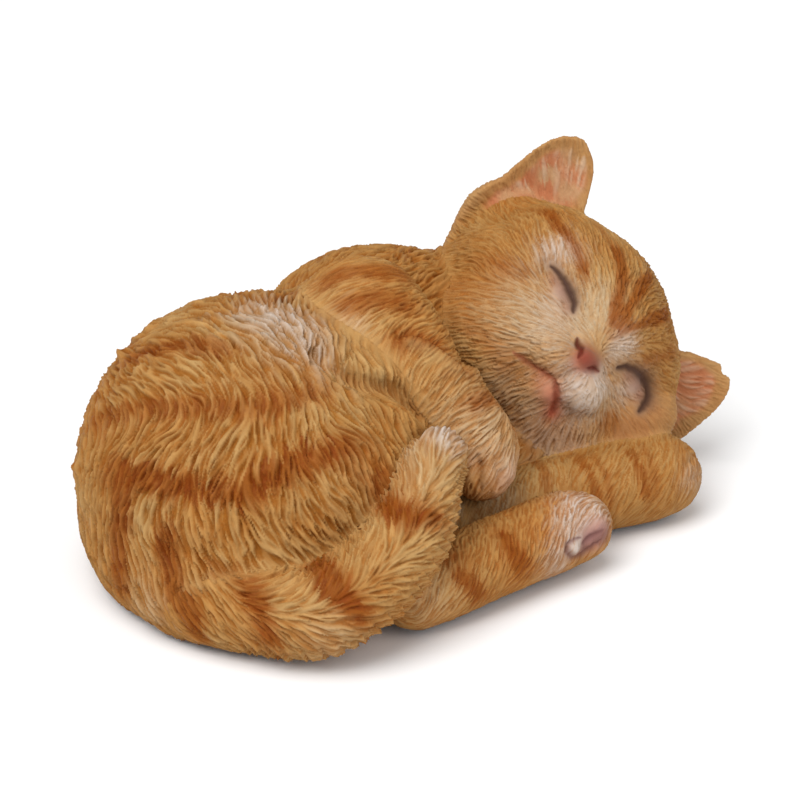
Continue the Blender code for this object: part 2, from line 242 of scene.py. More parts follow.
def ear_field(q, side):
    x = q[:, 0] * side
    z = q[:, 2]
    d2 = poly2(x, z, EAR_LEFT if side > 0 else EAR_RIGHT)
    wall = 1.0 + 0.9 * step(22, 2, z)
    shell = np.abs(q[:, 1] - ear_cup(x, z, side)) * 0.92 - wall
    d = smax(d2, shell, 1.5)
    if side > 0:      # small chip in the tip
        d = smax(d, 1.3 - np.hypot(x - 37.0, z - 28.7), 0.4)
    return d


def head_core(q):
    """The head without its ears."""
    d = ell(q, (0, -1, 1.5), (27.8, 27, 25.8))
    m = q * np.array([-1, 1, 1], F)
    for s in (q, m):
        d = smin(d, ell(s, (17, -3, -5), (17.5, 20, 16)), 6)     # cheek and ruff
        d = smin(d, ell(s, (17.5, 0, 8), (13.5, 17, 13)), 5)     # temple
        d = smin(d, ell(s, (27, -13, 5), (9, 8, 12)), 5)         # ear root
        d = smin(d, ell(s, (12, 14, -10), (12, 12, 10)), 5)      # jowl
        d = smin(d, ell(s, (13, 7, -19), (17, 18, 14.5)), 5)     # throat
    d = smin(d, ell(q, (0, 19, -6), (12.5, 10, 10)), 5)          # muzzle
    for s in (q, m):
        d = smin(d, ell(s, (5.4, 24.2, -6.5), (6.8, 5.6, 5.4)), 2.5)   # whisker pad
    d = smin(d, ell(q, (0, 20.5, -14.5), (6.5, 6.5, 4.6)), 3.0)  # chin
    d = smin(d, ell(q, (3, 14, -18), (12, 10.5, 9)), 5)          # under the chin
    d = smin(d, cone(q, (0, 19, 9), (0, 26, 1), 7.2, 3.9), 4)    # bridge of the nose
    d = smin(d, ell(q, (0, 27.9, -0.6), (3.9, 2.6, 2.8)), 1.2)   # nose
    return smin(d, ell(q, (29, -5, 1.5), (12, 10, 10)), 5)       # below the left ear


def head_field(P):
    q = (P - HEAD_CENTRE.astype(F)) @ HEAD_AXES.astype(F)
    d = head_core(q)
    d = smin(d, ell(P, (80, 36.5, 23.5), (14, 10, 9)), 5)        # fur pressed against the foreleg
    for side in (-1, 1):
        x = q[:, 0] * side
        near = (x > 11) & (x < 49) & (q[:, 2] > -15) & (q[:, 2] < 39) & (q[:, 1] > -24) & (q[:, 1] < 6)
        e = np.full(len(q), 40.0)
        if near.any():
            e[near] = ear_field(q[near], side)
        d = smin(d, e, 1.8)
    return d


def upper_field(P):
    return chain(P, UPPER)


def lower_field(P):
    return chain(P, LOWER)


def hind_field(P):
    return chain(P, HIND)


def tail_field(P):
    return chain(P, TAIL)


SHAPES = {
    "body_shell": (body_field, (-58, -58, -2), (90, 92, 76)),
    "upper_foreleg": (upper_field, (-3, -14, 16), (60, 36, 78)),
    "tail": (tail_field, (-32, -60, -2), (42, -10, 52)),
    "hind_foot": (hind_field, (15, -42, -2), (79, 11, 25)),
    "lower_foreleg": (lower_field, (27, -12, -2), (103, 41, 25)),
    "head": (head_field, (20, 2, -2), (124, 108, 100)),
}


def blend_width(name, P):
    """How softly a piece runs into the others."""
    where, reach, k0, k1 = {
        "upper_foreleg": ((10, 24, 62), 17, 1.4, 9),
        "tail": ((-20, -36, 12), 26, 1.0, 10),
        "hind_foot": ((27, -31, 10), 13, 1.2, 4),
        "lower_foreleg": ((40, 3, 10), 10, 1.2, 4),
        "head": ((44, 66, 52), 20, 1.4, 9),
    }[name]
    d2 = ((P - np.array(where, F)) ** 2).sum(1)
    k = k0 + (k1 - k0) * np.exp(-d2 / reach ** 2)
    if name == "upper_foreleg":
        for c, r, e in (((20, 0, 54), 11, 4.0), ((30, -7, 44), 9, 3.0)):
            k = k + e * np.exp(-((P - np.array(c, F)) ** 2).sum(1) / r ** 2)
    if name == "head":      # the cheek lies pressed against the foreleg
        k = k + 4.0 * np.exp(-((P - np.array((76, 27, 20), F)) ** 2).sum(1) / 14 ** 2)
    return k


def fields(P):
    """Every piece's own field at the points; pieces that are far off are skipped."""
    lo, hi = P.min(0), P.max(0)
    out = {}
    for name, (fun, a, b) in SHAPES.items():
        gap = np.maximum(np.maximum(np.array(a) - hi, lo - np.array(b)), 0)
        out[name] = fun(P) if (gap * gap).sum() < 15 ** 2 else None
    return out


SEAM = -0.6      # the castings reach a little into one another


def piece_fields(P, name):
    """Field of one casting, and of the cut between it and its neighbours."""
    own = fields(P)
    whole = own["body_shell"]
    if whole is None:
        whole = np.full(len(P), 60.0)
    for other in ("upper_foreleg", "tail", "hind_foot", "lower_foreleg", "head"):
        if own[other] is not None:
            whole = smin(whole, own[other], blend_width(other, P))
    whole = smax(whole, UNDERSIDE - P[:, 2], 0.9)
    mine = own[name] if own[name] is not None else np.full(len(P), 60.0)
    rest = np.full(len(P), 60.0)
    for other, d in own.items():
        if other != name and d is not None:
            rest = np.minimum(rest, d)
    cut = (mine - rest) * 0.5 + SEAM
    return whole, cut


# ================================================================ surface extraction
def sample_grid(name, lo, hi, h):
    lo = np.array(lo, float)
    hi = np.array(hi, float)
    B = 8
    nb = np.ceil((hi - lo) / (B * h)).astype(int)
    D = np.full(nb * B + 1, 1e3, F)
    ii = np.stack(np.meshgrid(*[np.arange(k) for k in nb], indexing="ij"), -1).reshape(-1, 3)
    cc = (lo + (ii + 0.5) * B * h).astype(F)

    def field(P):
        whole, cut = piece_fields(P, name)
        return np.maximum(whole, cut)

    dc = np.concatenate(list(POOL.map(field, [cc[s:s + 400] for s in range(0, len(cc), 400)])))
    for k in np.where(dc < 0)[0]:
        i = ii[k] * B
        D[i[0]:i[0] + B + 1, i[1]:i[1] + B + 1, i[2]:i[2] + B + 1] = -1e3
    loc = np.stack(np.meshgrid(*[np.arange(B + 1)] * 3, indexing="ij"), -1).reshape(-1, 3)
    ks = np.where(np.abs(dc) < B * h * 1.0 + 2.5)[0]
    coarse = ii[ks] // 4
    ks = ks[np.lexsort((ii[ks][:, 2], ii[ks][:, 1], ii[ks][:, 0], coarse[:, 2], coarse[:, 1], coarse[:, 0]))]

    def fill(s):
        ix = ((ii[ks[s:s + 48]] * B)[:, None, :] + loc[None]).reshape(-1, 3)
        D[ix[:, 0], ix[:, 1], ix[:, 2]] = field((lo + ix * h).astype(F))

    list(POOL.map(fill, range(0, len(ks), 48)))
    return D, lo


def refine(D):
    """Twice the grid resolution."""
    for ax in range(3):
        n = D.shape[ax]
        shape = list(D.shape)
        shape[ax] = 2 * n - 1
        E = np.empty(shape, F)
        even = [slice(None)] * 3
        odd = [slice(None)] * 3
        a = [slice(None)] * 3
        b = [slice(None)] * 3
        even[ax] = slice(0, None, 2)
        odd[ax] = slice(1, None, 2)
        a[ax] = slice(0, n - 1)
        b[ax] = slice(1, n)
        E[tuple(even)] = D
        E[tuple(odd)] = (D[tuple(a)] + D[tuple(b)]) * 0.5
        D = E
    return D


def extract(D, lo, h):
    """Surface nets: one vertex per crossed cell, one quad per crossed edge."""
    n = D.shape
    inside = D < 0
    c = [inside[i:n[0] - 1 + i, j:n[1] - 1 + j, k:n[2] - 1 + k] for i in (0, 1) for j in (0, 1) for k in (0, 1)]
    cnt = sum(x.astype(np.int8) for x in c)
    act = (cnt > 0) & (cnt < 8)
    cells = np.argwhere(act)
    vid = np.full(act.shape, -1, np.int32)
    vid[act] = np.arange(len(cells))
    pos = np.zeros((len(cells), 3))
    num = np.zeros(len(cells))
    offs = np.array([[i, j, k] for i in (0, 1) for j in (0, 1) for k in (0, 1)])
    dv = np.stack([D[cells[:, 0] + o[0], cells[:, 1] + o[1], cells[:, 2] + o[2]] for o in offs], 1)
    for a in range(8):
        for b in range(a + 1, 8):
            if np.abs(offs[a] - offs[b]).sum() != 1:
                continue
            m = (dv[:, a] < 0) != (dv[:, b] < 0)
            t = dv[m, a] / (dv[m, a] - dv[m, b])
            pos[m] += offs[a] + t[:, None] * (offs[b] - offs[a])
            num[m] += 1
    V = lo + (cells + pos / num[:, None]) * h
    quads = []
    for ax in range(3):
        s0 = [slice(1, n[i] - 1) for i in range(3)]
        s1 = [slice(1, n[i] - 1) for i in range(3)]
        s0[ax] = slice(0, n[ax] - 1)
        s1[ax] = slice(1, n[ax])
        A, Bb = inside[tuple(s0)], inside[tuple(s1)]
        edges = np.argwhere(A != Bb)
        out = A[A != Bb]
        base = edges.copy()
        for i in range(3):
            if i != ax:
                base[:, i] += 1
        b1, b2 = [(1, 2), (2, 0), (0, 1)][ax]

        def cell(d1, d2):
            q = base.copy()
            q[:, b1] -= d1
            q[:, b2] -= d2
            return vid[q[:, 0], q[:, 1], q[:, 2]]

        q = np.stack([cell(1, 1), cell(0, 1), cell(0, 0), cell(1, 0)], 1)
        q[~out] = q[~out][:, ::-1]
        quads.append(q)
    Q = np.concatenate(quads)
    return largest(V, Q[(Q >= 0).all(1)])


def largest(V, Q):
    """Only the main shell; loose crumbs are left out."""
    label = np.arange(len(V))
    while True:
        roots = label[Q]
        new = label.copy()
        np.minimum.at(new, roots.ravel(), np.repeat(roots.min(1), 4))
        while not np.array_equal(new, new[new]):
            new = new[new]
        if np.array_equal(new, label):
            break
        label = new
    keep = label == np.bincount(label).argmax()
    ids = np.cumsum(keep) - 1
    return V[keep], ids[Q[keep[Q[:, 0]]]]


def normals_of(V, Q):
    fn = np.cross(V[Q[:, 2]] - V[Q[:, 0]], V[Q[:, 3]] - V[Q[:, 1]])
    N = np.stack([sum(np.bincount(Q[:, k], fn[:, c], len(V)) for k in range(4)) for c in range(3)], 1)
    return N / (np.linalg.norm(N, axis=1, keepdims=True) + 1e-12)


def soften(X, Q, rounds, factor=0.5):
    """Even out a value over the neighbours on the surface."""
    n = len(X)
    E = np.concatenate([Q[:, [0, 1]], Q[:, [1, 2]], Q[:, [2, 3]], Q[:, [3, 0]]])
    deg = np.bincount(E[:, 0], minlength=n) + np.bincount(E[:, 1], minlength=n)
    flat = X.ndim == 1
    Y = X[:, None] if flat else X
    for _ in range(rounds):
        S = np.stack([np.bincount(E[:, 0], Y[E[:, 1], c], n) + np.bincount(E[:, 1], Y[E[:, 0], c], n)
                      for c in range(Y.shape[1])], 1)
        Y = Y + factor * (S / deg[:, None] - Y)
    return Y[:, 0] if flat else Y


class Grid:
    """Reads a sampled field and its slope between the grid points."""

    def __init__(self, D, lo, h):
        self.D, self.lo, self.h = D, lo, h

    def __call__(self, P):
        q = (P - self.lo) / self.h
        i = np.clip(np.floor(q).astype(int), 0, np.array(self.D.shape) - 2)
        f = q - i
        c = [[[self.D[i[:, 0] + a, i[:, 1] + b, i[:, 2] + d].astype(float) for d in (0, 1)] for b in (0, 1)] for a in (0, 1)]
        x, y, z = f.T
        l = lambda a, b, t: a + (b - a) * t
        v = l(l(l(c[0][0][0], c[0][0][1], z), l(c[0][1][0], c[0][1][1], z), y),
              l(l(c[1][0][0], c[1][0][1], z), l(c[1][1][0], c[1][1][1], z), y), x)
        gx = l(l(c[1][0][0], c[1][0][1], z), l(c[1][1][0], c[1][1][1], z), y) - l(l(c[0][0][0], c[0][0][1], z), l(c[0][1][0], c[0][1][1], z), y)
        gy = l(l(c[0][1][0], c[0][1][1], z), l(c[1][1][0], c[1][1][1], z), x) - l(l(c[0][0][0], c[0][0][1], z), l(c[1][0][0], c[1][0][1], z), x)
        gz = l(l(c[0][0][1], c[0][1][1], y), l(c[1][0][1], c[1][1][1], y), x) - l(l(c[0][0][0], c[0][1][0], y), l(c[1][0][0], c[1][1][0], y), x)
        g = np.stack([gx, gy, gz], 1)
        return v, g / (np.linalg.norm(g, axis=1, keepdims=True) + 1e-9)


# ================================================================ surfaces before carving
class Piece:
    pass


pieces = {}
for name, (fun, lo, hi) in SHAPES.items():
    h = HEAD_GRID if name == "head" else GRID if name == "body_shell" else LIMB_GRID
    D, lo = sample_grid(name, lo, hi, h)
    p = Piece()
    p.name = name
    p.grid = Grid(D, lo, h)
    p.V, p.Q = extract(refine(D), lo, h / 2)
    p.V = soften(p.V, p.Q, 2, 0.5)
    p.N = normals_of(p.V, p.Q)
    parts = list(POOL.map(lambda s: piece_fields(p.V[s:s + 30000].astype(F), name), range(0, len(p.V), 30000)))
    whole = np.concatenate([r[0] for r in parts])
    p.past = np.concatenate([r[1] for r in parts]) - SEAM      # how far past the parting line
    # 1 on the outside, 0 on hidden joint faces and on the ground face
    p.shown = step(-0.75, -0.3, whole)
    p.out = p.shown * step(UNDERSIDE + 0.15, UNDERSIDE + 1.0, p.V[:, 2])
    pieces[name] = p

# ---------------------------------------------------------------- points picked in the view
pick_V = np.concatenate([p.V for p in pieces.values()])
pick_N = np.concatenate([p.N for p in pieces.values()])
pick_O = np.concatenate([p.out for p in pieces.values()])
pick_id = np.concatenate([np.full(len(p.V), i) for i, p in enumerate(pieces.values())])
pick_uv = project(pick_V)
pick_ok = ((pick_N * (CAM - pick_V)).sum(1) > 0) & (pick_O > 0.3)
PIECE_ID = {n: i for i, n in enumerate(pieces)}


def front_map(ids):
    """The nearest surface point at each place of the view."""
    ids = ids[np.argsort(-pick_uv[ids, 2], kind="stable")]
    x = np.clip(np.rint(pick_uv[ids, 0]).astype(int), 0, 799)
    y = np.clip(np.rint(pick_uv[ids, 1]).astype(int), 0, 799)
    key = (y * 800 + x)[::-1]
    _, first = np.unique(key, return_index=True)
    out = np.full(640000, -1)
    out[key[first]] = ids[::-1][first]
    return out.reshape(800, 800)


FRONT = {n: front_map(np.where(pick_ok & (pick_id == i))[0]) for n, i in PIECE_ID.items()}
FRONT[None] = front_map(np.where(pick_ok)[0])


def pick(px, py, only=None):
    """The visible surface point under a place in the view, and its normal."""
    x, y, r = int(round(px)), int(round(py)), 2
    while True:
        near = FRONT[only][max(0, y - r):y + r + 1, max(0, x - r):x + r + 1]
        near = near[near >= 0]
        if len(near):
            break
        r *= 2
    front = near[pick_uv[near, 2] < pick_uv[near, 2].min() + 2.0]
    k = front[np.argmin((pick_uv[front, 0] - px) ** 2 + (pick_uv[front, 1] - py) ** 2)]
    return pick_V[k], pick_N[k]


def pick_line(points, only=None, gap=5.0):
    """A line on the surface through places in the view."""
    pts = np.array(points, float)
    out = []
    for a, b in zip(pts[:-1], pts[1:]):
        n = max(1, int(np.hypot(*(b - a)) / gap))
        for t in np.arange(n) / n:
            out.append(pick(*(a + (b - a) * t), only)[0])
    out.append(pick(*pts[-1], only)[0])
    return np.array(out)


def line_distance(P, line):
    """Distance to a line on the surface and the place along it, 0 to 1."""
    best = np.full(len(P), 1e9)
    along = np.zeros(len(P))
    n = len(line) - 1
    lo, hi = line.min(0) - 14, line.max(0) + 14
    near = np.where(((P > lo) & (P < hi)).all(1))[0]
    X = P[near]
    bb = np.full(len(X), 1e9)
    aa = np.zeros(len(X))
    for k in range(n):
        a, b = line[k], line[k + 1]
        ab = b - a
        t = np.clip(((X - a) @ ab) / max(ab @ ab, 1e-9), 0, 1)
        d = np.linalg.norm(X - a - t[:, None] * ab, axis=1)
        m = d < bb
        bb = np.where(m, d, bb)
        aa = np.where(m, (k + t) / n, aa)
    best[near] = bb
    along[near] = aa
    return best, along


# ================================================================ lie of the fur
def guide_rows(rows, only=None):
    """Fur directions given as places and directions in the view."""
    G, D = [], []
    for x, y, dx, dy in rows:
        p, n = pick(x, y, only)
        d = CR * dx - CU * dy
        # turn the view direction into the surface
        ray = (p - CAM) / np.linalg.norm(p - CAM)
        d = d - ray * (d @ n) / min(ray @ n, -0.15)
        d /= np.linalg.norm(d)
        G.append(p)
        D.append(d)
    return np.array(G), np.array(D)


BODY_GUIDES = [
    (100, 400, 0.3, 0.9), (150, 350, 0.95, 0.15), (175, 376, 0.97, 0.3), (200, 330, 0.95, 0.1), (235, 375, 0.85, 0.5), (205, 385, 0.95, 0.35), (150, 385, 0.95, 0.35), (265, 380, 0.7, 0.7),
    (240, 318, 0.85, 0.5), (265, 312, 0.75, 0.65), (285, 328, 0.7, 0.7), (305, 345, 0.72, 0.7), (325, 360, 0.8, 0.6), (160, 442, -0.92, 0.4), (195, 445, -0.85, 0.53), (140, 460, -0.9, 0.45), (225, 448, -0.7, 0.7),
    (255, 438, -0.45, 0.9), (285, 430, 0.1, 1), (320, 420, 0.45, 0.9), (350, 425, 0.7, 0.7), (385, 430, 0.8, 0.55),
    (105, 470, -0.1, 1), (130, 480, -0.3, 0.95), (170, 520, 0.05, 1), (230, 520, 0.1, 1), (270, 500, -0.15, 1), (300, 500, 0.2, 1),
    (330, 490, 0.5, 0.85), (360, 480, 0.75, 0.65), (110, 540, 0.1, 1), (150, 570, 0.3, 0.95), (190, 590, 0.45, 0.9),
    (210, 560, 0.4, 0.9), (250, 540, 0.5, 0.85), (290, 530, 0.75, 0.65), (325, 525, 0.9, 0.4), (120, 590, 0.6, 0.8),
    (160, 612, 0.7, 0.7), (205, 637, 0.8, 0.5),
    (240, 560, 0.5, 0.86), (240, 600, 0.7, 0.7), (270, 600, 0.85, 0.5), (230, 625, 0.8, 0.6),
    (303, 285, -0.25, 0.97), (318, 270, -0.5, 0.86), (345, 262, -0.8, 0.6), (400, 262, -0.97, 0.2), (425, 262, -0.9, 0.4), (350, 285, -0.9, 0.4),
    (335, 310, -0.6, 0.8), (322, 325, -0.15, 1), (338, 345, 0.05, 1), (312, 338, 0.45, 0.9), (355, 365, 0.15, 1), (375, 375, 0.05, 1),
    (395, 385, 0.0, 1), (412, 398, -0.1, 1),
]
UPPER_GUIDES = [
    (350, 285, -0.92, 0.35), (400, 290, -1, 0.03), (430, 305, -1, 0.1), (360, 310, -0.8, 0.5), (380, 318, -0.85, 0.45), (402, 322, -0.8, 0.5),
    (345, 335, -0.2, 0.98), (360, 345, -0.15, 1), (380, 345, -0.3, 0.95), (400, 350, -0.2, 0.98), (420, 350, -0.5, 0.86), (440, 352, -0.7, 0.7),
    (440, 375, -0.55, 0.83), (420, 385, -0.35, 0.93), (400, 385, -0.05, 1), (370, 370, 0.05, 1), (455, 395, -0.85, 0.5), (470, 385, -0.85, 0.5),
    (485, 402, -0.95, 0.25), (470, 420, -0.9, 0.35), (490, 425, -0.85, 0.5), (506, 425, -0.4, 0.9), (512, 450, 0.0, 1), (490, 450, -0.6, 0.8),
    (470, 450, -0.7, 0.7), (480, 475, -0.3, 0.95), (500, 475, -0.1, 1), (440, 325, -0.9, 0.3), (452, 335, -0.9, 0.4),
]
EX = np.array([math.cos(SPINE_TURN), math.sin(SPINE_TURN), 0])   # rump to head
SPINE = [(46, 66, 52), (20, 48, 66), (4, 26, 66), (-18, 14, 62), (-42, 2, 40), (-52, -4, 20)]


def rbf(P, G, D, reach):
    w = np.zeros((len(P), 3))
    s = np.zeros(len(P))
    for g, d in zip(G, D):
        e = np.exp(-((P - g) ** 2).sum(1) / (2 * reach ** 2))
        w += e[:, None] * d
        s += e
    return w, s


def axis_near(P, rows):
    """Nearest centre-line point, direction and place along a limb."""
    s = spline(rows, 4)[:, :3]
    best = np.full(len(P), 1e9)
    C = np.zeros((len(P), 3))
    T = np.zeros((len(P), 3))
    A = np.zeros(len(P))
    for k, (a, b) in enumerate(zip(s[:-1], s[1:])):
        ab = b - a
        t = np.clip(((P - a) @ ab) / (ab @ ab), 0, 1)
        c = a + t[:, None] * ab
        d = ((P - c) ** 2).sum(1)
        m = d < best
        best = np.where(m, d, best)
        C[m] = c[m]
        T[m] = ab / np.linalg.norm(ab)
        A[m] = (k + t[m]) / (len(s) - 1)
    return C, T, A


body_G, body_D = guide_rows(BODY_GUIDES)
upper_G, upper_D = guide_rows(UPPER_GUIDES, "upper_foreleg")


def flow_body(P, N):
    # behind: from the neck along the spine to the rump, then down the flank
    down = np.array([0, 0, -1.0])
    F0 = -EX * 0.75 + down * (1.0 - np.clip(N[:, 2:3], -0.2, 1) * 0.8)
    w, s = rbf(P, body_G, body_D, 9.0)
    return F0 * 0.02 + w


def flow_upper(P, N):
    C, T, A = axis_near(P, UPPER)
    w, s = rbf(P, upper_G, upper_D, 5.5)
    return T * 0.04 + w


def flow_lower(P, N):
    C, T, A = axis_near(P, LOWER)
    around = np.cross(T, N) * step(0.85, 0.35, np.abs((T * N).sum(1)))[:, None]
    return T * 0.62 + around * -0.78


def flow_hind(P, N):
    C, T, A = axis_near(P, HIND)
    around = np.cross(T, N) * step(0.85, 0.35, np.abs((T * N).sum(1)))[:, None]
    return T * 0.72 + around * -0.68


def flow_tail(P, N):
    C, T, A = axis_near(P, TAIL)
    R = P - C
    side = np.cross(T, CT)
    side /= np.linalg.norm(side, axis=1, keepdims=True) + 1e-9
    lat = np.clip((R * side).sum(1) / 6.0, -1, 1)
    own = T * 0.80 + side * (lat * 0.85)[:, None]
    # at its root the tail is part of the rump
    body = flow_body(P, N)
    body /= np.linalg.norm(body, axis=1, keepdims=True) + 1e-9
    w = step(0.36, 0.12, A)[:, None]
    return own * (1 - w) + body * w


NOSE = np.array([0, 31.0, 1.0])


def head_local(P):
    return (P - HEAD_CENTRE) @ HEAD_AXES


def flow_head(P, N):
    q = head_local(P)
    d = q - NOSE
    d = d / (np.linalg.norm(d, axis=1, keepdims=True) + 1e-9)
    d = d + np.stack([0.25 * np.sign(q[:, 0]) * step(4, 16, np.abs(q[:, 0])), -0.35 * np.ones(len(q)),
                      -0.35 * step(8, -10, q[:, 2])], 1)
    return d @ HEAD_AXES.T


# what each piece's carving is like: lie of the fur, wander,
# locks (half width, length, height, cover) and cuts (half width, length, depth, cover)
CARVE = {
    "body_shell": (flow_body, 0.34, (0.88, 10.5, 0.86, 1.6), (0.42, 6.2, 1.2, 0.54)),
    "upper_foreleg": (flow_upper, 0.18, (0.47, 7.5, 0.44, 1.8), (0.26, 4.6, 0.62, 0.46)),
    "tail": (flow_tail, 0.24, (0.82, 8.5, 0.92, 1.6), (0.34, 5.5, 0.70, 0.42)),
    "hind_foot": (flow_hind, 0.32, (0.46, 6.0, 0.36, 1.8), (0.24, 4.0, 0.46, 0.40)),
    "lower_foreleg": (flow_lower, 0.28, (0.42, 6.5, 0.24, 1.8), (0.21, 4.2, 0.32, 0.38)),
    "head": (flow_head, 0.30, (0.42, 6.2, 0.44, 1.8), (0.23, 3.8, 0.52, 0.50)),
}


def spread(p, gap):
    """Evenly scattered points: one at random in every small block of the surface."""
    ids = RNG.permutation(np.where(p.out > 0.2)[0])
    c = np.floor(p.V[ids] / gap).astype(int) + 200
    key = (c[:, 0] * 4001 + c[:, 1]) * 4001 + c[:, 2]
    _, first = np.unique(key, return_index=True)
    return ids[np.sort(first)]


def fur_scale(p, ids):
    """The fur is shorter and finer round the nose and eyes."""
    if p.name != "head":
        return 1.0
    return 0.5 + 0.5 * step(9, 27, np.linalg.norm(head_local(p.V[ids]) - NOSE, axis=1))


def trace(p, ids, length, steps, wander, flow):
    """Lines that follow the lie of the fur over the surface."""
    count = len(ids)
    X = p.V[ids]
    L = length * (0.6 + 0.8 * RNG.random(count)) * fur_scale(p, ids)
    bend = RNG.normal(0, 0.2, count)
    rows = [X]
    for k in range(steps):
        v, n = p.grid(X)
        t = flow(X, n)
        t = t - n * (t * n).sum(1)[:, None]
        t /= np.linalg.norm(t, axis=1, keepdims=True) + 1e-9
        a = wander * (noise(X, 6.5, 1) * 1.3 + noise(X, 2.9, 2) * 0.9) + bend * (k / steps - 0.3)
        b = np.cross(n, t)
        t = t * np.cos(a)[:, None] + b * np.sin(a)[:, None]
        X = X + t * (L / steps)[:, None]
        v, n = p.grid(X)
        X = X - n * np.clip(v, -1, 1)[:, None]
        rows.append(X)
    return np.stack(rows, 1)      # count x (steps + 1) x 3


def lock_profile(s):
    """Width and height of a lock from root to tip."""
    width = np.minimum(1, s / 0.25 + 0.05) ** 0.6 * (1 - 0.8 * step(0.45, 1.0, s))
    height = (0.30 + 0.70 * step(0.0, 0.65, s)) * (1 - 0.6 * step(0.9, 1.0, s))
    return width, height


def cut_profile(s):
    """Width and depth of a lens-shaped cut."""
    b = np.sin(np.pi * np.clip(s, 0.001, 0.999))
    return b ** 0.8 + 0.02, b ** 0.6


def press(p, S, half, lift, profile, power):
    """Press every line's cross section into the surface; the highest one wins at each point."""
    count, steps = S.shape[0], S.shape[1] - 1
    S = S.astype(F)
    half = half.astype(F)
    lift = lift.astype(F)
    A = S[:, :-1].reshape(-1, 3)
    AB = (S[:, 1:] - S[:, :-1]).reshape(-1, 3)
    L2 = (AB * AB).sum(1) + F(1e-9)
    sid = np.repeat(np.arange(count, dtype=np.int32), steps)
    sk = np.tile(np.arange(steps, dtype=F), count)
    reach = half[sid] ** 2
    M = A + AB * F(0.5)
    cell = half.max() + np.sqrt(np.percentile(L2, 99)) * 0.5 + 0.02
    lo = p.V.min(0) - cell * 2
    dims = np.ceil((p.V.max(0) - lo) / cell).astype(int) + 3
    ci = np.clip(np.floor((M - lo) / cell).astype(int), 0, dims - 1)
    key = (ci[:, 0] * dims[1] + ci[:, 1]) * dims[2] + ci[:, 2]
    order = np.argsort(key, kind="stable")
    start = np.searchsorted(key[order], np.arange(int(np.prod(dims)) + 1))
    A, AB, L2, sid, sk, reach = A[order], AB[order], L2[order], sid[order], sk[order], reach[order]
    nv = len(p.V)
    best, win = np.zeros(nv, F), np.full(nv, -1)
    todo = np.where(p.out > 0.02)[0]

    def work(ids):
        V = p.V[ids].astype(F)
        vi = np.floor((p.V[ids] - lo) / cell).astype(int)
        hb, hw = np.zeros(len(ids), F), np.full(len(ids), -1)
        for dx in (-1, 0, 1):
            for dy in (-1, 0, 1):
                for dz in (-1, 0, 1):
                    k = ((vi[:, 0] + dx) * dims[1] + vi[:, 1] + dy) * dims[2] + vi[:, 2] + dz
                    s0 = start[k]
                    cnt = start[k + 1] - s0
                    active = np.where(cnt > 0)[0]
                    m = 0
                    while len(active):
                        seg = s0[active] + m
                        X = V[active] - A[seg]
                        dot = np.einsum("ij,ij->i", X, AB[seg])
                        t = np.clip(dot / L2[seg], 0, 1)
                        d2 = np.einsum("ij,ij->i", X, X) + t * (t * L2[seg] - 2 * dot)
                        near = np.where(d2 < reach[seg])[0]
                        if len(near):
                            sg = seg[near]
                            st = sid[sg]
                            w, hgt = profile((sk[sg] + t[near]) / steps)
                            w = w * half[st]
                            u2 = d2[near] / (w * w + F(1e-9))
                            hh = lift[st] * hgt * (1 - np.minimum(np.maximum(u2, 0), 1) ** power)
                            a = active[near]
                            better = (u2 < 1) & (hh > hb[a])
                            hb[a[better]] = hh[better]
                            hw[a[better]] = st[better]
                        m += 1
                        active = active[cnt[active] > m]
        best[ids], win[ids] = hb, hw

    list(POOL.map(work, np.array_split(todo, 16)))
    return best.astype(float), win


def fringe(p):
    C, T, A = axis_near(p.V, TAIL)
    R = p.V - C
    side = np.cross(T, CT)
    side /= np.linalg.norm(side, axis=1, keepdims=True) + 1e-9
    lat = (R * side).sum(1) / (np.linalg.norm(R, axis=1) + 1e-9)
    edge = step(0.62, 0.97, np.abs(lat)) * step(0.15, 0.3, A)
    s = (A * 98.0 - 3.0 * np.abs(lat) + 0.9 * noise(p.V, 3.0, 30)) / 2.5 + np.where(lat > 0, 0.0, 0.4)
    tooth = s - np.floor(s)
    return edge * (1.5 * tooth ** 1.4 * step(1.0, 0.86, tooth) - 0.4) * p.out


def ear_inside(V, N):
    """1 in the hollow of an ear."""
    q = head_local(V)
    n = N @ HEAD_AXES
    out = np.zeros(len(q))
    for side, outline in ((1, EAR_LEFT), (-1, EAR_RIGHT)):
        x = q[:, 0] * side
        near = np.where((x > 18) & (q[:, 2] > -4))[0]
        rim = 0.5 + 1.7 * step(29, 38, x[near])
        d2 = poly2(x[near], q[near, 2], outline) + 0.8 * noise(V[near], 3.0, 31)
        f = step(-rim, -rim - 2.2, d2) * step(0.0, 0.3, n[near, 1])
        f = f * (np.abs(q[near, 1] - ear_cup(x[near], q[near, 2], side)) < 3.4) * step(21, 25, x[near]) * step(1, 6, q[near, 2])
        out[near] = np.maximum(out[near], f)
    return out


def flow_ear(P, N):
    q = head_local(P)
    d = q - np.stack([np.sign(q[:, 0]) * 22.0, q[:, 1], np.where(q[:, 0] > 0, 9.0, 15.0)], 1)
    return d @ HEAD_AXES.T


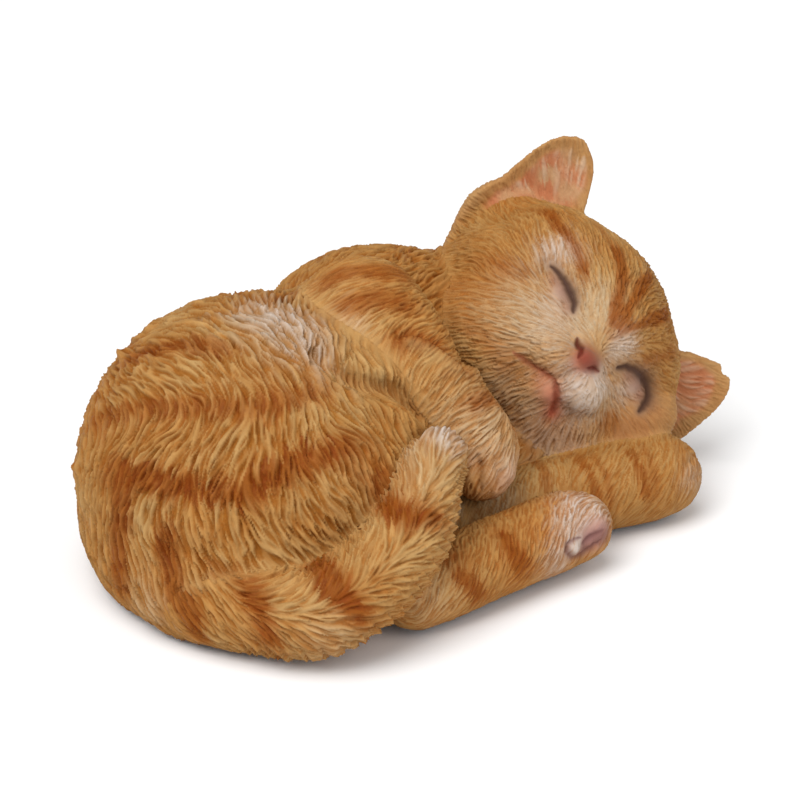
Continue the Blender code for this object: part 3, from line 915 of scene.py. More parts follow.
def carve(p):
    flow, wander, (half, length, height, cover), (chalf, clength, cdepth, ccover) = CARVE[p.name]
    ids = spread(p, math.sqrt(half * length * 1.25 / cover / 1.5))
    steps = max(5, int(length / 0.9))
    S = trace(p, ids, length, steps, wander, flow)
    count = len(S)
    p.relief, win = press(p, S, half * (0.65 + 0.7 * RNG.random(count)) * (0.35 + 0.65 * fur_scale(p, ids)), 0.35 + 0.65 * RNG.random(count), lock_profile, 0.8)
    cid = spread(p, math.sqrt(chalf * clength * 1.3 / ccover / 1.5))
    csteps = max(4, int(clength / 0.8))
    K = trace(p, cid, clength, csteps, wander, flow)
    p.cuts = press(p, K, chalf * (0.6 + 0.9 * RNG.random(len(K))) * (0.3 + 0.7 * fur_scale(p, cid)), 0.3 + 0.7 * RNG.random(len(K)), cut_profile, 1.0)[0]
    # colour is taken partly from the lock as a whole, so that paint edges follow the fur
    place = S[:, steps // 2] + (S[:, -1] - S[:, 0]) * RNG.normal(0, 0.16, count)[:, None]
    p.paint_at = p.V.copy()
    has = win >= 0
    p.paint_at[has] = 0.6 * p.V[has] + 0.4 * place[win[has]]
    p.tone = np.zeros(len(p.V))
    p.tone[has] = RNG.normal(0, 1, count)[win[has]]
    p.tuft = np.zeros(len(p.V))
    if p.name == "head":      # long tufts that fan out from the root of each ear
        p.hollow = ear_inside(p.V, p.N)
        ids = np.where((p.hollow > 0.5) & (head_local(p.V)[:, 2] < 27))[0]
        ids = RNG.choice(ids, 130)
        T = trace(p, ids, 8.5, 9, 0.3, flow_ear)
        p.tuft = press(p, T, 0.9 * (0.5 + 1.0 * RNG.random(130)), 0.3 + 0.7 * RNG.random(130), lock_profile, 0.9)[0] * p.hollow
    print(p.name, len(p.V), "points", count, "locks", len(K), "cuts")
    return height, cdepth


# ================================================================ sculpted details
def bump_at(p, px, py, radius, height, only=None):
    c, n = pick(px, py, only or p.name)
    d2 = ((p.V - c) ** 2).sum(1)
    p.lift += height * np.exp(-d2 / radius ** 2)


def groove(p, points, width, depth, taper=0.25, heavy=1.0, only=None):
    """A cut along a line in the view, finer at its ends; gives the distance from it in its own widths."""
    line = pick_line(points, only or p.name, 3.0)
    d, a = line_distance(p.V, line)
    a = a ** heavy
    f = np.clip(np.minimum(a, 1 - a) / taper, 0, 1) ** 0.7 * 0.7 + 0.3
    p.lift -= depth * f * np.exp(-(d / (width * f)) ** 2)
    return d / f


EYE_RIGHT = [(551, 266), (558, 273), (565, 283), (571, 293), (575, 302), (573, 312)]
EYE_LEFT = [(618, 368), (626, 367), (634, 370), (642, 376), (649, 385), (650, 394), (647, 402), (639, 411)]
LID_RIGHT = [(555, 279), (562, 289), (568, 299), (569, 308)]
LID_LEFT = [(627, 374), (635, 379), (640, 387), (639, 396)]
MOUTH = [(513, 352), (527, 362), (541, 370), (555, 378)]
MOUTH_DOWN = [(555, 378), (557, 390), (555, 403), (551, 416)]
PHILTRUM = [(578, 368), (568, 373), (557, 379)]
NOSTRIL_A = [(577, 338), (577, 344), (581, 349), (581, 353), (578, 357)]
NOSTRIL_B = [(588, 366), (593, 368), (598, 371)]

face = {}
for p in pieces.values():
    p.lift = np.zeros(len(p.V))
h = pieces["head"]
# lids, sockets and brow
bump_at(h, 560, 291, 4.4, 0.75)
bump_at(h, 632, 384, 4.4, 0.85)
bump_at(h, 576, 277, 4.5, 0.6)
bump_at(h, 645, 366, 4.2, 0.6)
bump_at(h, 588, 320, 6.0, -0.6)
bump_at(h, 613, 351, 5.0, -0.7)
# muzzle pads, lip, nose
bump_at(h, 585, 390, 5.5, 1.9)
bump_at(h, 575, 398, 4.0, 0.8)
bump_at(h, 546, 352, 7.0, 1.0)
bump_at(h, 547, 391, 3.2, 1.3)
bump_at(h, 587, 358, 3.0, 0.9)
face["eye"] = np.minimum(groove(h, EYE_RIGHT, 1.15, 1.6, 0.5, 1.5), groove(h, EYE_LEFT, 1.7, 1.8, 0.5, 1.0) * 0.62)
face["lid"] = np.minimum(line_distance(h.V, pick_line(LID_RIGHT, "head", 3.0))[0], line_distance(h.V, pick_line(LID_LEFT, "head", 3.0))[0])
face["mouth"] = np.minimum(groove(h, MOUTH, 1.2, 0.65), groove(h, MOUTH_DOWN, 0.9, 1.2))
groove(h, PHILTRUM, 1.0, 0.7)
face["nostril"] = np.minimum(groove(h, NOSTRIL_A, 0.75, 1.6, 0.4), groove(h, NOSTRIL_B, 0.75, 1.3, 0.4))

bd = pieces["body_shell"]
face["fold"] = groove(bd, [(328, 366), (345, 377), (367, 386), (387, 390), (409, 402), (424, 419)], 2.2, 0.8, 0.4)
fold_lip = [(322, 374), (342, 388), (366, 397), (388, 402), (404, 414), (414, 430)]
line, _ = line_distance(bd.V, pick_line(fold_lip, "body_shell", 4.0))
bd.lift += 0.9 * np.exp(-(line / 3.2) ** 2)
for x, y, r, e in ((78, 467, 1.6, 2.0), (86, 446, 2.0, 0.7), (97, 394, 2.2, 0.9), (124, 352, 1.5, 2.0), (112, 372, 2.0, 0.7), (152, 326, 2.4, 0.8), (196, 306, 2.4, 0.8),
                   (90, 560, 2.4, 0.8)):
    bump_at(bd, x, y, r, e)
hf = pieces["hind_foot"]
bump_at(hf, 592, 540, 3.4, -1.2)
bump_at(hf, 574, 547, 1.9, 1.3)
bump_at(hf, 600, 525, 2.6, 0.6)
sole = np.minimum(groove(hf, [(583, 538), (575, 539), (568, 544), (567, 552), (573, 558), (583, 555), (594, 548), (603, 540)], 0.75, 0.7, 0.3),
                  groove(hf, [(584, 545), (592, 538), (603, 530)], 0.7, 0.4, 0.3))
up = pieces["upper_foreleg"]
bump_at(up, 470, 474, 3.0, 0.8)
bump_at(up, 488, 478, 3.0, 0.7)
bump_at(up, 506, 474, 3.4, 0.9)
groove(up, [(477, 452), (479, 468), (480, 488)], 1.1, 1.0, 0.35)
groove(up, [(494, 456), (498, 472), (498, 490)], 1.1, 1.0, 0.35)
# the leg's sharp upper edge, lying over the shoulder
LEG_EDGE = [(396, 344), (404, 337), (413, 335), (428, 341), (442, 350), (456, 362), (470, 376)]


def view_step(p, points):
    """Distance in mm from a line in the view, positive on its left-hand side."""
    uv = project(p.V)[:, :2]
    best = np.full(len(uv), 1e9)
    sign = np.ones(len(uv))
    along = np.zeros(len(uv))
    pts = np.array(points, float)
    for k, (a, b) in enumerate(zip(pts[:-1], pts[1:])):
        ab = b - a
        t = np.clip(((uv - a) @ ab) / (ab @ ab), 0, 1)
        d = np.linalg.norm(uv - a - t[:, None] * ab, axis=1)
        m = d < best
        best = np.where(m, d, best)
        c = ab[0] * (uv[:, 1] - a[1]) - ab[1] * (uv[:, 0] - a[0])
        sign = np.where(m, -np.sign(c), sign)
        along = np.where(m, (k + t) / (len(pts) - 1), along)
    return best * sign / 4.1, along


sd, along = view_step(up, LEG_EDGE)
ends = step(0.0, 0.22, along) * step(1.0, 0.9, along)
up.lift -= 3.0 * step(-0.2, 0.9, sd) * np.exp(-(np.maximum(sd, 0) / 7.0) ** 2) * ends
up.lift += 0.7 * np.exp(-((sd + 1.2) / 1.4) ** 2) * ends
# up.edge: narrow band on the dropped side just past the leg's edge, where a painted shadow darkens the fur
up.edge = np.exp(-((sd - 0.5) / 0.6) ** 2) * ends
lf = pieces["lower_foreleg"]
along = np.array(LOWER[-1][:3]) - np.array(LOWER[-2][:3])
along /= np.linalg.norm(along)
across = np.cross(along, (0.0, 0.0, 1.0))
across /= np.linalg.norm(across)
toe = lf.V - np.array(LOWER[-1][:3])
for c in (-4.0, 0.2, 4.2):
    lf.lift -= 0.9 * np.exp(-((toe @ across - c) / 0.8) ** 2) * step(3.5, 7.5, toe @ along)
groove(lf, [(697, 452), (690, 462), (684, 466)], 0.9, 0.5, 0.4)
groove(lf, [(702, 474), (694, 479), (687, 480)], 0.9, 0.5, 0.4)

# bare or smooth places carry no locks
h.bare = np.ones(len(h.V))
for line, w in ((EYE_RIGHT, 1.9), (EYE_LEFT, 1.9), (NOSTRIL_A, 2.6), (NOSTRIL_B, 2.4)):
    d, _ = line_distance(h.V, pick_line(line, "head", 3.0))
    h.bare *= step(w * 0.45, w, d)
for x, y, r in ((561, 292, 2.4), (633, 385, 2.6), (586, 357, 4.4), (550, 391, 2.8)):
    c, _ = pick(x, y, "head")
    h.bare *= step(r * 0.6, r * 1.15, np.linalg.norm(h.V - c, axis=1))
hf.bare = np.ones(len(hf.V))
for x, y, r in ((587, 542, 4.4), (599, 532, 4.0)):
    c, _ = pick(x, y, "hind_foot")
    hf.bare *= 0.25 + 0.75 * step(r * 0.6, r * 1.2, np.linalg.norm(hf.V - c, axis=1))

# ================================================================ paint
def srgb(r, g, b):
    c = np.array([r, g, b]) / 255.0
    return np.where(c <= 0.04045, c / 12.92, ((c + 0.055) / 1.055) ** 2.4)


GAIN = 0.59
OCHRE = srgb(199, 144, 78) * GAIN
OCHRE_LIGHT = srgb(214, 174, 114) * GAIN
OCHRE_DEEP = srgb(188, 119, 50) * GAIN
RUST = srgb(168, 90, 14) * GAIN
RUST_DARK = srgb(122, 56, 4) * GAIN
CREAM = srgb(224, 200, 164) * GAIN
SHADE = srgb(150, 102, 66) * GAIN
WHITE = srgb(232, 218, 208) * GAIN
PINK = srgb(218, 144, 110) * GAIN
PINK_DEEP = srgb(190, 88, 68) * GAIN
EAR_PINK = srgb(222, 136, 98) * GAIN
NOSE_RED = srgb(138, 64, 50) * GAIN
EYE_DARK = srgb(74, 46, 38) * GAIN
EYE_SHADE = srgb(138, 104, 86) * GAIN
BASE_EDGE = srgb(100, 46, 24) * GAIN
MAUVE = srgb(200, 150, 142) * GAIN
MAUVE_DARK = srgb(132, 84, 80) * GAIN
LID = srgb(222, 188, 172) * GAIN
# brightness of each piece's paint; the upper foreleg's is raised partly as painted fill light on its paw, which the
# tail shades
PIECE_GAIN = {"lower_foreleg": 0.95, "hind_foot": 1.06, "upper_foreleg": 1.06}
# tint of the wash that settles between the locks
WASH = {"body_shell": (0.72, 0.46, 0.14), "upper_foreleg": (0.80, 0.58, 0.34), "tail": (0.84, 0.62, 0.38),
        "hind_foot": (0.78, 0.54, 0.32), "lower_foreleg": (0.82, 0.60, 0.36), "head": (0.87, 0.68, 0.46)}


BODY_STRIPES = [   # places in the view, half width in mm, strength
    ([(86, 430), (93, 423), (136, 407), (187, 405), (239, 407), (290, 397), (325, 385)], 2.4, 0.68),
    ([(105, 478), (116, 466), (136, 474), (175, 484), (213, 494), (251, 492), (290, 466), (315, 456), (345, 447), (365, 444)], 3.0, 0.95),
    ([(118, 466), (121, 510), (116, 548), (119, 586)], 2.8, 0.9),
    ([(162, 520), (170, 560), (175, 600), (195, 637)], 2.8, 0.9),
    ([(118, 362), (150, 350), (190, 345), (232, 350)], 2.4, 0.75),
    ([(379, 470), (385, 490), (379, 503)], 3.0, 0.9),
    ([(330, 440), (345, 460), (372, 480)], 2.4, 0.45),
    ([(310, 290), (319, 283), (342, 272), (384, 270), (408, 272)], 2.6, 0.8),
    ([(300, 292), (285, 296), (262, 300)], 2.2, 0.5),
    ([(330, 318), (338, 311), (355, 301), (384, 298), (420, 304)], 2.4, 0.75),
    ([(205, 566), (225, 570), (240, 575)], 2.0, 0.4),
]
UPPER_STRIPES = [
    ([(319, 283), (342, 272), (384, 270), (408, 272)], 2.6, 0.8),
    ([(336, 312), (355, 301), (384, 298), (420, 304)], 2.4, 0.75),
    ([(390, 347), (400, 341), (418, 333), (440, 338), (452, 350)], 2.6, 0.85),
    ([(470, 404), (485, 398), (505, 396)], 2.2, 0.7),
    ([(445, 372), (462, 366), (474, 372)], 1.8, 0.4),
]
TAIL_STRIPES = [
    ([(180, 588), (187, 610), (197, 637)], 2.7, 0.9),
    ([(240, 582), (250, 596), (258, 612), (269, 645)], 2.7, 0.95),
    ([(312, 556), (325, 572), (340, 592), (368, 622)], 2.9, 1.0),
    ([(380, 500), (400, 512), (440, 520)], 2.8, 1.0),
]
LOWER_STRIPES = [
    ([(532, 458), (544, 472), (548, 490)], 1.2, 0.6), ([(578, 456), (590, 474), (600, 506)], 1.2, 0.75), ([(592, 454), (604, 474), (612, 508)], 1.0, 0.6),
    ([(628, 450), (640, 468), (648, 500)], 1.2, 0.8), ([(642, 446), (652, 466), (656, 500)], 1.0, 0.5), ([(676, 445), (686, 470)], 1.8, 0.3),
]
HIND_STRIPES = [
    ([(432, 540), (442, 550), (452, 560)], 2.2, 0.8), ([(456, 570), (468, 582), (482, 600)], 2.2, 0.95),
    ([(500, 532), (512, 550), (526, 572)], 2.4, 1.0), ([(462, 555), (476, 566)], 1.6, 0.4),
]
HEAD_STRIPES = [
    ([(540, 209), (552, 216), (562, 230), (576, 247), (582, 262), (582, 276)], 1.6, 0.92),
    ([(613, 243), (620, 262), (622, 281), (618, 310), (614, 329)], 1.5, 0.92),
    ([(652, 272), (640, 290), (630, 306), (616, 330)], 1.5, 0.92),
    ([(676, 310), (660, 318), (640, 324), (616, 332)], 1.6, 0.92),
    ([(676, 352), (660, 357), (642, 360)], 1.5, 0.6),
    ([(596, 222), (606, 236), (612, 250)], 1.3, 0.4),
    ([(470, 260), (500, 262), (530, 275)], 2.0, 0.35),
    ([(465, 320), (490, 345), (515, 372)], 2.2, 0.35),
    ([(600, 420), (625, 428), (650, 425)], 2.4, 0.6),
    ([(648, 400), (655, 410), (662, 420)], 2.0, 0.5),
]
STRIPES = {"body_shell": BODY_STRIPES, "upper_foreleg": UPPER_STRIPES, "tail": TAIL_STRIPES,
           "lower_foreleg": LOWER_STRIPES, "hind_foot": HIND_STRIPES, "head": HEAD_STRIPES}

# soft patches: place in the view, radius in mm, colour, strength
PATCHES = {
    # the last body_shell patch, at (527, 440), is painted shade on the chest under the chin
    "body_shell": [(285, 325, 9, WHITE, 0.9), (265, 308, 7, WHITE, 0.65), (310, 345, 6, WHITE, 0.6), (245, 320, 6, CREAM, 0.4),
                   (190, 375, 9, OCHRE_LIGHT, 0.6), (220, 450, 10, OCHRE_LIGHT, 0.45), (250, 560, 9, OCHRE_LIGHT, 0.4),
                   (145, 600, 7, CREAM, 0.5), (205, 620, 7, CREAM, 0.5), (470, 500, 8, CREAM, 0.8), (330, 500, 9, OCHRE_DEEP, 0.4), (527, 440, 6, srgb(178, 138, 112) * GAIN, 0.85)],
    # the two light orange patches at the end of the upper_foreleg row are painted bounce light under the paw, where
    # the tail shades it
    "upper_foreleg": [(343, 332, 5, WHITE, 0.45), (478, 460, 4.5, PINK, 0.6), (507, 474, 5, WHITE, 0.7), (505, 480, 4, PINK, 0.4), (490, 445, 7, CREAM, 0.55), (470, 408, 10, CREAM, 0.4), (430, 365, 8, OCHRE_LIGHT, 0.5), (500, 425, 8, CREAM, 0.4), (470, 488, 6, srgb(226, 160, 92) * GAIN, 0.7), (490, 490, 5, srgb(244, 186, 132) * GAIN, 0.6)],
    "tail": [(442, 433, 5, WHITE, 0.9), (452, 440, 4, WHITE, 0.7), (425, 470, 7, CREAM, 0.5), (415, 545, 7, OCHRE_LIGHT, 0.5), (300, 610, 9, OCHRE_LIGHT, 0.5), (330, 640, 7, CREAM, 0.4)],
    "lower_foreleg": [(695, 478, 4, WHITE, 0.5), (530, 480, 7, OCHRE_LIGHT, 0.6), (500, 502, 6, CREAM, 0.6), (620, 470, 7, OCHRE_LIGHT, 0.3), (560, 470, 6, OCHRE_LIGHT, 0.4)],
    "hind_foot": [(590, 510, 7, WHITE, 0.95), (572, 526, 4.5, WHITE, 0.8), (558, 562, 5, WHITE, 0.8), (600, 524, 4, WHITE, 0.4), (592, 540, 3.7, MAUVE, 0.9), (602, 530, 3.2, MAUVE, 0.75), (605, 535, 2.4, MAUVE_DARK, 0.6),
                  (597, 541, 2.4, MAUVE_DARK, 0.5), (585, 549, 2.2, MAUVE_DARK, 0.7), (574, 546, 1.9, WHITE, 0.95), (580, 540, 1.6, WHITE, 0.5), (430, 600, 7, CREAM, 0.4)],
    # head: the OCHRE_DEEP patch at (540, 425) and the SHADE patch under the chin are painted shade; the OCHRE_LIGHT
    # and CREAM patches at (470, 345) and (492, 388) are painted light on the shaded ruff
    "head": [(540, 335, 9, CREAM, 0.55), (515, 320, 9, CREAM, 0.4), (515, 388, 8, OCHRE_DEEP, 0.5), (520, 290, 7, CREAM, 0.5), (555, 315, 7, WHITE, 0.5), (586, 388, 7, WHITE, 0.8),
             (575, 400, 6, WHITE, 0.82), (598, 392, 4.5, WHITE, 0.6), (551, 253, 4.5, WHITE, 0.55), (566, 251, 4.5, WHITE, 0.55), (598, 300, 7, CREAM, 0.7), (592, 325, 5, CREAM, 0.6),
             (628, 345, 4, WHITE, 0.65), (618, 352, 3.5, WHITE, 0.5), (622, 390, 5, WHITE, 0.6), (560, 435, 9, WHITE, 0.3), (600, 410, 7, CREAM, 0.5), (540, 425, 8, OCHRE_DEEP, 0.5), (548, 434, 7, SHADE, 0.6), (655, 420, 7, OCHRE, 0.5),
             (530, 400, 7, CREAM, 0.5), (490, 278, 7, OCHRE_DEEP, 0.5), (540, 440, 7, WHITE, 0.2), (470, 345, 7, OCHRE_LIGHT, 0.4), (492, 388, 6, CREAM, 0.35), (630, 425, 6, OCHRE_DEEP, 0.5),
             (549, 389, 3.2, PINK, 0.9), (553, 398, 2.4, PINK_DEEP, 0.55), (552, 412, 2.4, PINK_DEEP, 0.75), (543, 376, 3.0, PINK, 0.55), (586, 357, 3.4, NOSE_RED, 0.92), (580, 360, 2.6, PINK_DEEP, 0.55), (593, 364, 1.8, NOSE_RED, 0.7), (578, 364, 1.4, PINK, 0.5),
             (560, 293, 2.8, LID, 0.5), (633, 386, 2.8, LID, 0.6), (548, 263, 2.2, EYE_SHADE, 0.35), (556, 268, 2.0, EYE_SHADE, 0.3), (618, 366, 1.8, EYE_SHADE, 0.35), (640, 411, 1.8, EYE_SHADE, 0.35)],
}


def stripe_mask(p, P):
    mask = np.zeros(len(P))
    wob = (noise(P, 5.0, 4) * 0.9 + noise(P, 2.2, 5) * 0.5) * (0.2 if p.name == "lower_foreleg" else 1.0)
    for pts, w, strength in STRIPES[p.name]:
        w = w * 1.2
        d, a = line_distance(P, pick_line(pts, p.name if p.name != "body_shell" else None, 6.0))
        f = strength * (1 - step(w * 0.35, w * 1.55, d + wob)) * np.minimum(1, np.minimum(a, 1 - a) / 0.12 + 0.45)
        mask = np.maximum(mask, f)
    return mask


def far_side(p):
    """1 where the surface turns away from the main view."""
    return step(0.12, -0.12, (p.N * ((CAM - p.V) / np.linalg.norm(CAM - p.V, axis=1, keepdims=True))).sum(1))


def back_stripes(p, P):
    """Tabby bars on the sides the main view does not reach."""
    wob = noise(P, 9.0, 6) * 3.0 + noise(P, 4.0, 7) * 1.2
    if p.name == "body_shell":
        s = P @ EX + wob - 0.25 * P[:, 2]
        bars = 0.5 + 0.5 * np.cos(2 * np.pi * s / 17.0)
        m = step(0.62, 0.9, bars) * 0.85
        line, _ = line_distance(P, np.array(SPINE, float))
        return np.maximum(m, 0.8 * (1 - step(2.0, 5.5, line + wob * 0.4)))
    if p.name == "head":
        q = head_local(P)
        bars = 0.5 + 0.5 * np.cos(2 * np.pi * (q[:, 0] + wob * 0.5) / 11.0)
        return step(0.6, 0.92, bars) * 0.75 * step(0, 12, q[:, 2])
    rows = {"upper_foreleg": UPPER, "lower_foreleg": LOWER, "hind_foot": HIND, "tail": TAIL}[p.name]
    C, T, A = axis_near(P, rows)
    return step(0.7, 0.93, 0.5 + 0.5 * np.cos(2 * np.pi * (A * len(rows) * 0.75 + wob * 0.03))) * 0.7


def mix(a, b, t):
    return a + (b - a) * np.asarray(t)[:, None]


def paint(p):
    P = p.paint_at
    n = len(P)
    broad = noise(P, 22.0, 8)
    fine = noise(P, 6.0, 9)
    C = np.tile(OCHRE, (n, 1))
    C = mix(C, OCHRE_LIGHT, step(-0.1, 0.8, broad * 0.7 + fine * 0.5) * 0.6)
    C = mix(C, OCHRE_DEEP, step(0.0, 0.8, -broad * 0.6 - fine * 0.5) * 0.55)
    away = far_side(p)
    ridge = step(0.35, 0.9, p.relief) * (1 - step(0.0, 0.35, p.cuts)) * p.furry
    m = stripe_mask(p, P)
    m = np.maximum(m * (1 - 0.6 * away), back_stripes(p, P) * away)
    for x, y, r, col, strength in PATCHES[p.name]:
        c, _ = pick(x, y, p.name if p.name != "body_shell" else None)
        d = np.linalg.norm(P - c, axis=1) * (1 + 0.22 * fine + 0.1 * p.tone)
        if r > 3.7:
            f = strength * np.exp(-(d / r) ** 2)
            C = mix(C, col, f * (0.75 + 0.25 * ridge if p.name == "head" else 0.5 + 0.5 * ridge))
            if col is WHITE:
                m = m * (1 - 0.55 * f)
    C = mix(C, RUST, np.clip(m * 0.92, 0, 1))
    C = mix(C, RUST_DARK, np.clip(m - 0.55, 0, 1) * 0.5)
    for x, y, r, col, strength in PATCHES[p.name]:
        if r <= 3.7:
            c, _ = pick(x, y, p.name if p.name != "body_shell" else None)
            d = np.linalg.norm(p.V - c, axis=1)
            C = mix(C, col, strength * np.exp(-(d / r) ** 2))
    C = mix(C, OCHRE_LIGHT, 0.3 * p.calm * (1 - m))
    C = mix(C, OCHRE * 0.5 + OCHRE_LIGHT * 0.5, 0.6 * p.join)
    C = C * PIECE_GAIN.get(p.name, 1.0)
    # each lock is a touch lighter or darker
    C = C * np.exp(0.055 * p.tone)[:, None]
    # wash settles in the cuts, a dry brush catches the ridges
    low = np.clip(step(0.42, 0.05, p.relief) * 0.7 + step(0.1, 0.7, p.cuts) * 0.9, 0, 1) * p.furry * (1 - 0.7 * p.seam) * (1 - 0.5 * p.ear) * (1 - 0.25 * p.calm) * (1 - 0.6 * p.join)
    if p.name == "head":
        low = low * (1 - 0.6 * p.hollow)
    wash = np.tile(WASH[p.name], (n, 1))
    if p.name == "tail":      # like the rump at its root
        A = axis_near(p.V, TAIL)[2]
        wash = mix(np.tile(WASH["body_shell"], (n, 1)), wash, step(0.12, 0.34, A))
    if p.name == "head":      # thinner on the face
        wash = mix(np.tile((0.90, 0.76, 0.60), (n, 1)), wash, p.outer)
    C = mix(C, C * wash, low * 0.95)
    C = mix(C, np.minimum(1, C * 1.02 + CREAM * 0.06), ridge * (0.6 - 0.4 * m))
    if p.name == "upper_foreleg":
        C = mix(C, OCHRE_LIGHT, np.exp(-((sd + 2.0) / 1.4) ** 2) * ends * 0.35)
        # painted shadow along the dropped side of the leg's edge
        C = mix(C, C * np.array([0.62, 0.44, 0.28]), up.edge * 0.7)
    if p.name == "body_shell":
        # painted shade darkening the fold crease in front of the thigh
        C = mix(C, C * np.array([0.66, 0.48, 0.30]), np.exp(-(face["fold"] / 1.8) ** 2) * 0.5)
    if p.name == "head":
        C = paint_face(p, C)
    if p.name == "hind_foot":
        C = mix(C, MAUVE_DARK, np.exp(-(sole / 0.8) ** 2) * 0.7)
    # dark edge along the ground
    C = mix(C, BASE_EDGE, step(UNDERSIDE + 1.6, UNDERSIDE + 0.3, p.V[:, 2]) * 0.85)
    # painted shade: hidden joint faces are darkened so the gaps between the castings look shaded
    C = mix(C, C * np.array([0.60, 0.48, 0.36]), 1 - p.shown)
    return np.clip(C, 0, 1)


def paint_face(p, C):
    q = head_local(p.V)
    inner = p.hollow * step(33, 25, q[:, 2] + 0.6 * noise(p.V, 3.0, 14))
    C = mix(C, mix(np.tile(EAR_PINK, (len(q), 1)), srgb(226, 178, 134) * GAIN, step(-0.3, 0.5, noise(p.paint_at, 5.0, 12))), inner * 0.75)
    C = mix(C, srgb(236, 200, 166) * GAIN, step(0.2, 0.75, p.tuft) * (0.48 + 0.25 * noise(p.V, 5.0, 32)))
    C = mix(C, C * np.array([0.74, 0.52, 0.40]), p.hollow * step(0.12, 0.0, p.tuft) * 0.2)
    C = mix(C, srgb(224, 172, 122) * GAIN, p.ear * (1 - p.hollow) * 0.3)
    e = face["eye"]
    C = mix(C, srgb(178, 126, 108) * GAIN, np.exp(-(face["lid"] / 2.0) ** 2) * 0.55)
    C = mix(C, EYE_SHADE, np.exp(-(e / 2.6) ** 2) * 0.6)
    C = mix(C, EYE_DARK, np.exp(-(e / 1.1) ** 2) * 0.85)
    C = mix(C, srgb(178, 84, 56) * GAIN, np.exp(-(face["mouth"] / 1.0) ** 2) * 0.65)
    C = mix(C, srgb(122, 44, 30) * GAIN, np.exp(-(face["nostril"] / 0.8) ** 2) * 0.92)
    return C


# ================================================================ build the meshes
def painted_resin(name, bump=0.35):
    mat = bpy.data.materials.new(name)
    mat.use_nodes = True
    nt = mat.node_tree
    N, Lk = nt.nodes, nt.links
    bs = N["Principled BSDF"]
    at = N.new("ShaderNodeAttribute")
    at.attribute_name = "paint"
    rel = N.new("ShaderNodeAttribute")
    rel.attribute_name = "relief"
    co = N.new("ShaderNodeTexCoord")
    speck = N.new("ShaderNodeTexNoise")
    speck.inputs["Scale"].default_value = 900
    speck.inputs["Detail"].default_value = 6
    speck.inputs["Roughness"].default_value = 0.65
    Lk.new(co.outputs["Object"], speck.inputs["Vector"])
    blot = N.new("ShaderNodeTexNoise")
    blot.inputs["Scale"].default_value = 160
    blot.inputs["Detail"].default_value = 4
    Lk.new(co.outputs["Object"], blot.inputs["Vector"])
    tint = N.new("ShaderNodeMapRange")
    tint.inputs["To Min"].default_value = 0.86
    tint.inputs["To Max"].default_value = 1.14
    Lk.new(speck.outputs["Fac"], tint.inputs["Value"])
    mul = N.new("ShaderNodeVectorMath")
    mul.operation = "SCALE"
    Lk.new(at.outputs["Color"], mul.inputs[0])
    Lk.new(tint.outputs["Result"], mul.inputs["Scale"])
    Lk.new(mul.outputs["Vector"], bs.inputs["Base Color"])
    ro = N.new("ShaderNodeMapRange")
    ro.inputs["From Min"].default_value = 0.3
    ro.inputs["From Max"].default_value = 0.7
    ro.inputs["To Min"].default_value = 0.50
    ro.inputs["To Max"].default_value = 0.70
    Lk.new(blot.outputs["Fac"], ro.inputs["Value"])
    Lk.new(ro.outputs["Result"], bs.inputs["Roughness"])
    bs.inputs["Specular IOR Level"].default_value = 0.09
    bp = N.new("ShaderNodeBump")
    bp.inputs["Strength"].default_value = bump
    bp.inputs["Distance"].default_value = 0.0003
    Lk.new(speck.outputs["Fac"], bp.inputs["Height"])
    Lk.new(bp.outputs["Normal"], bs.inputs["Normal"])
    return mat


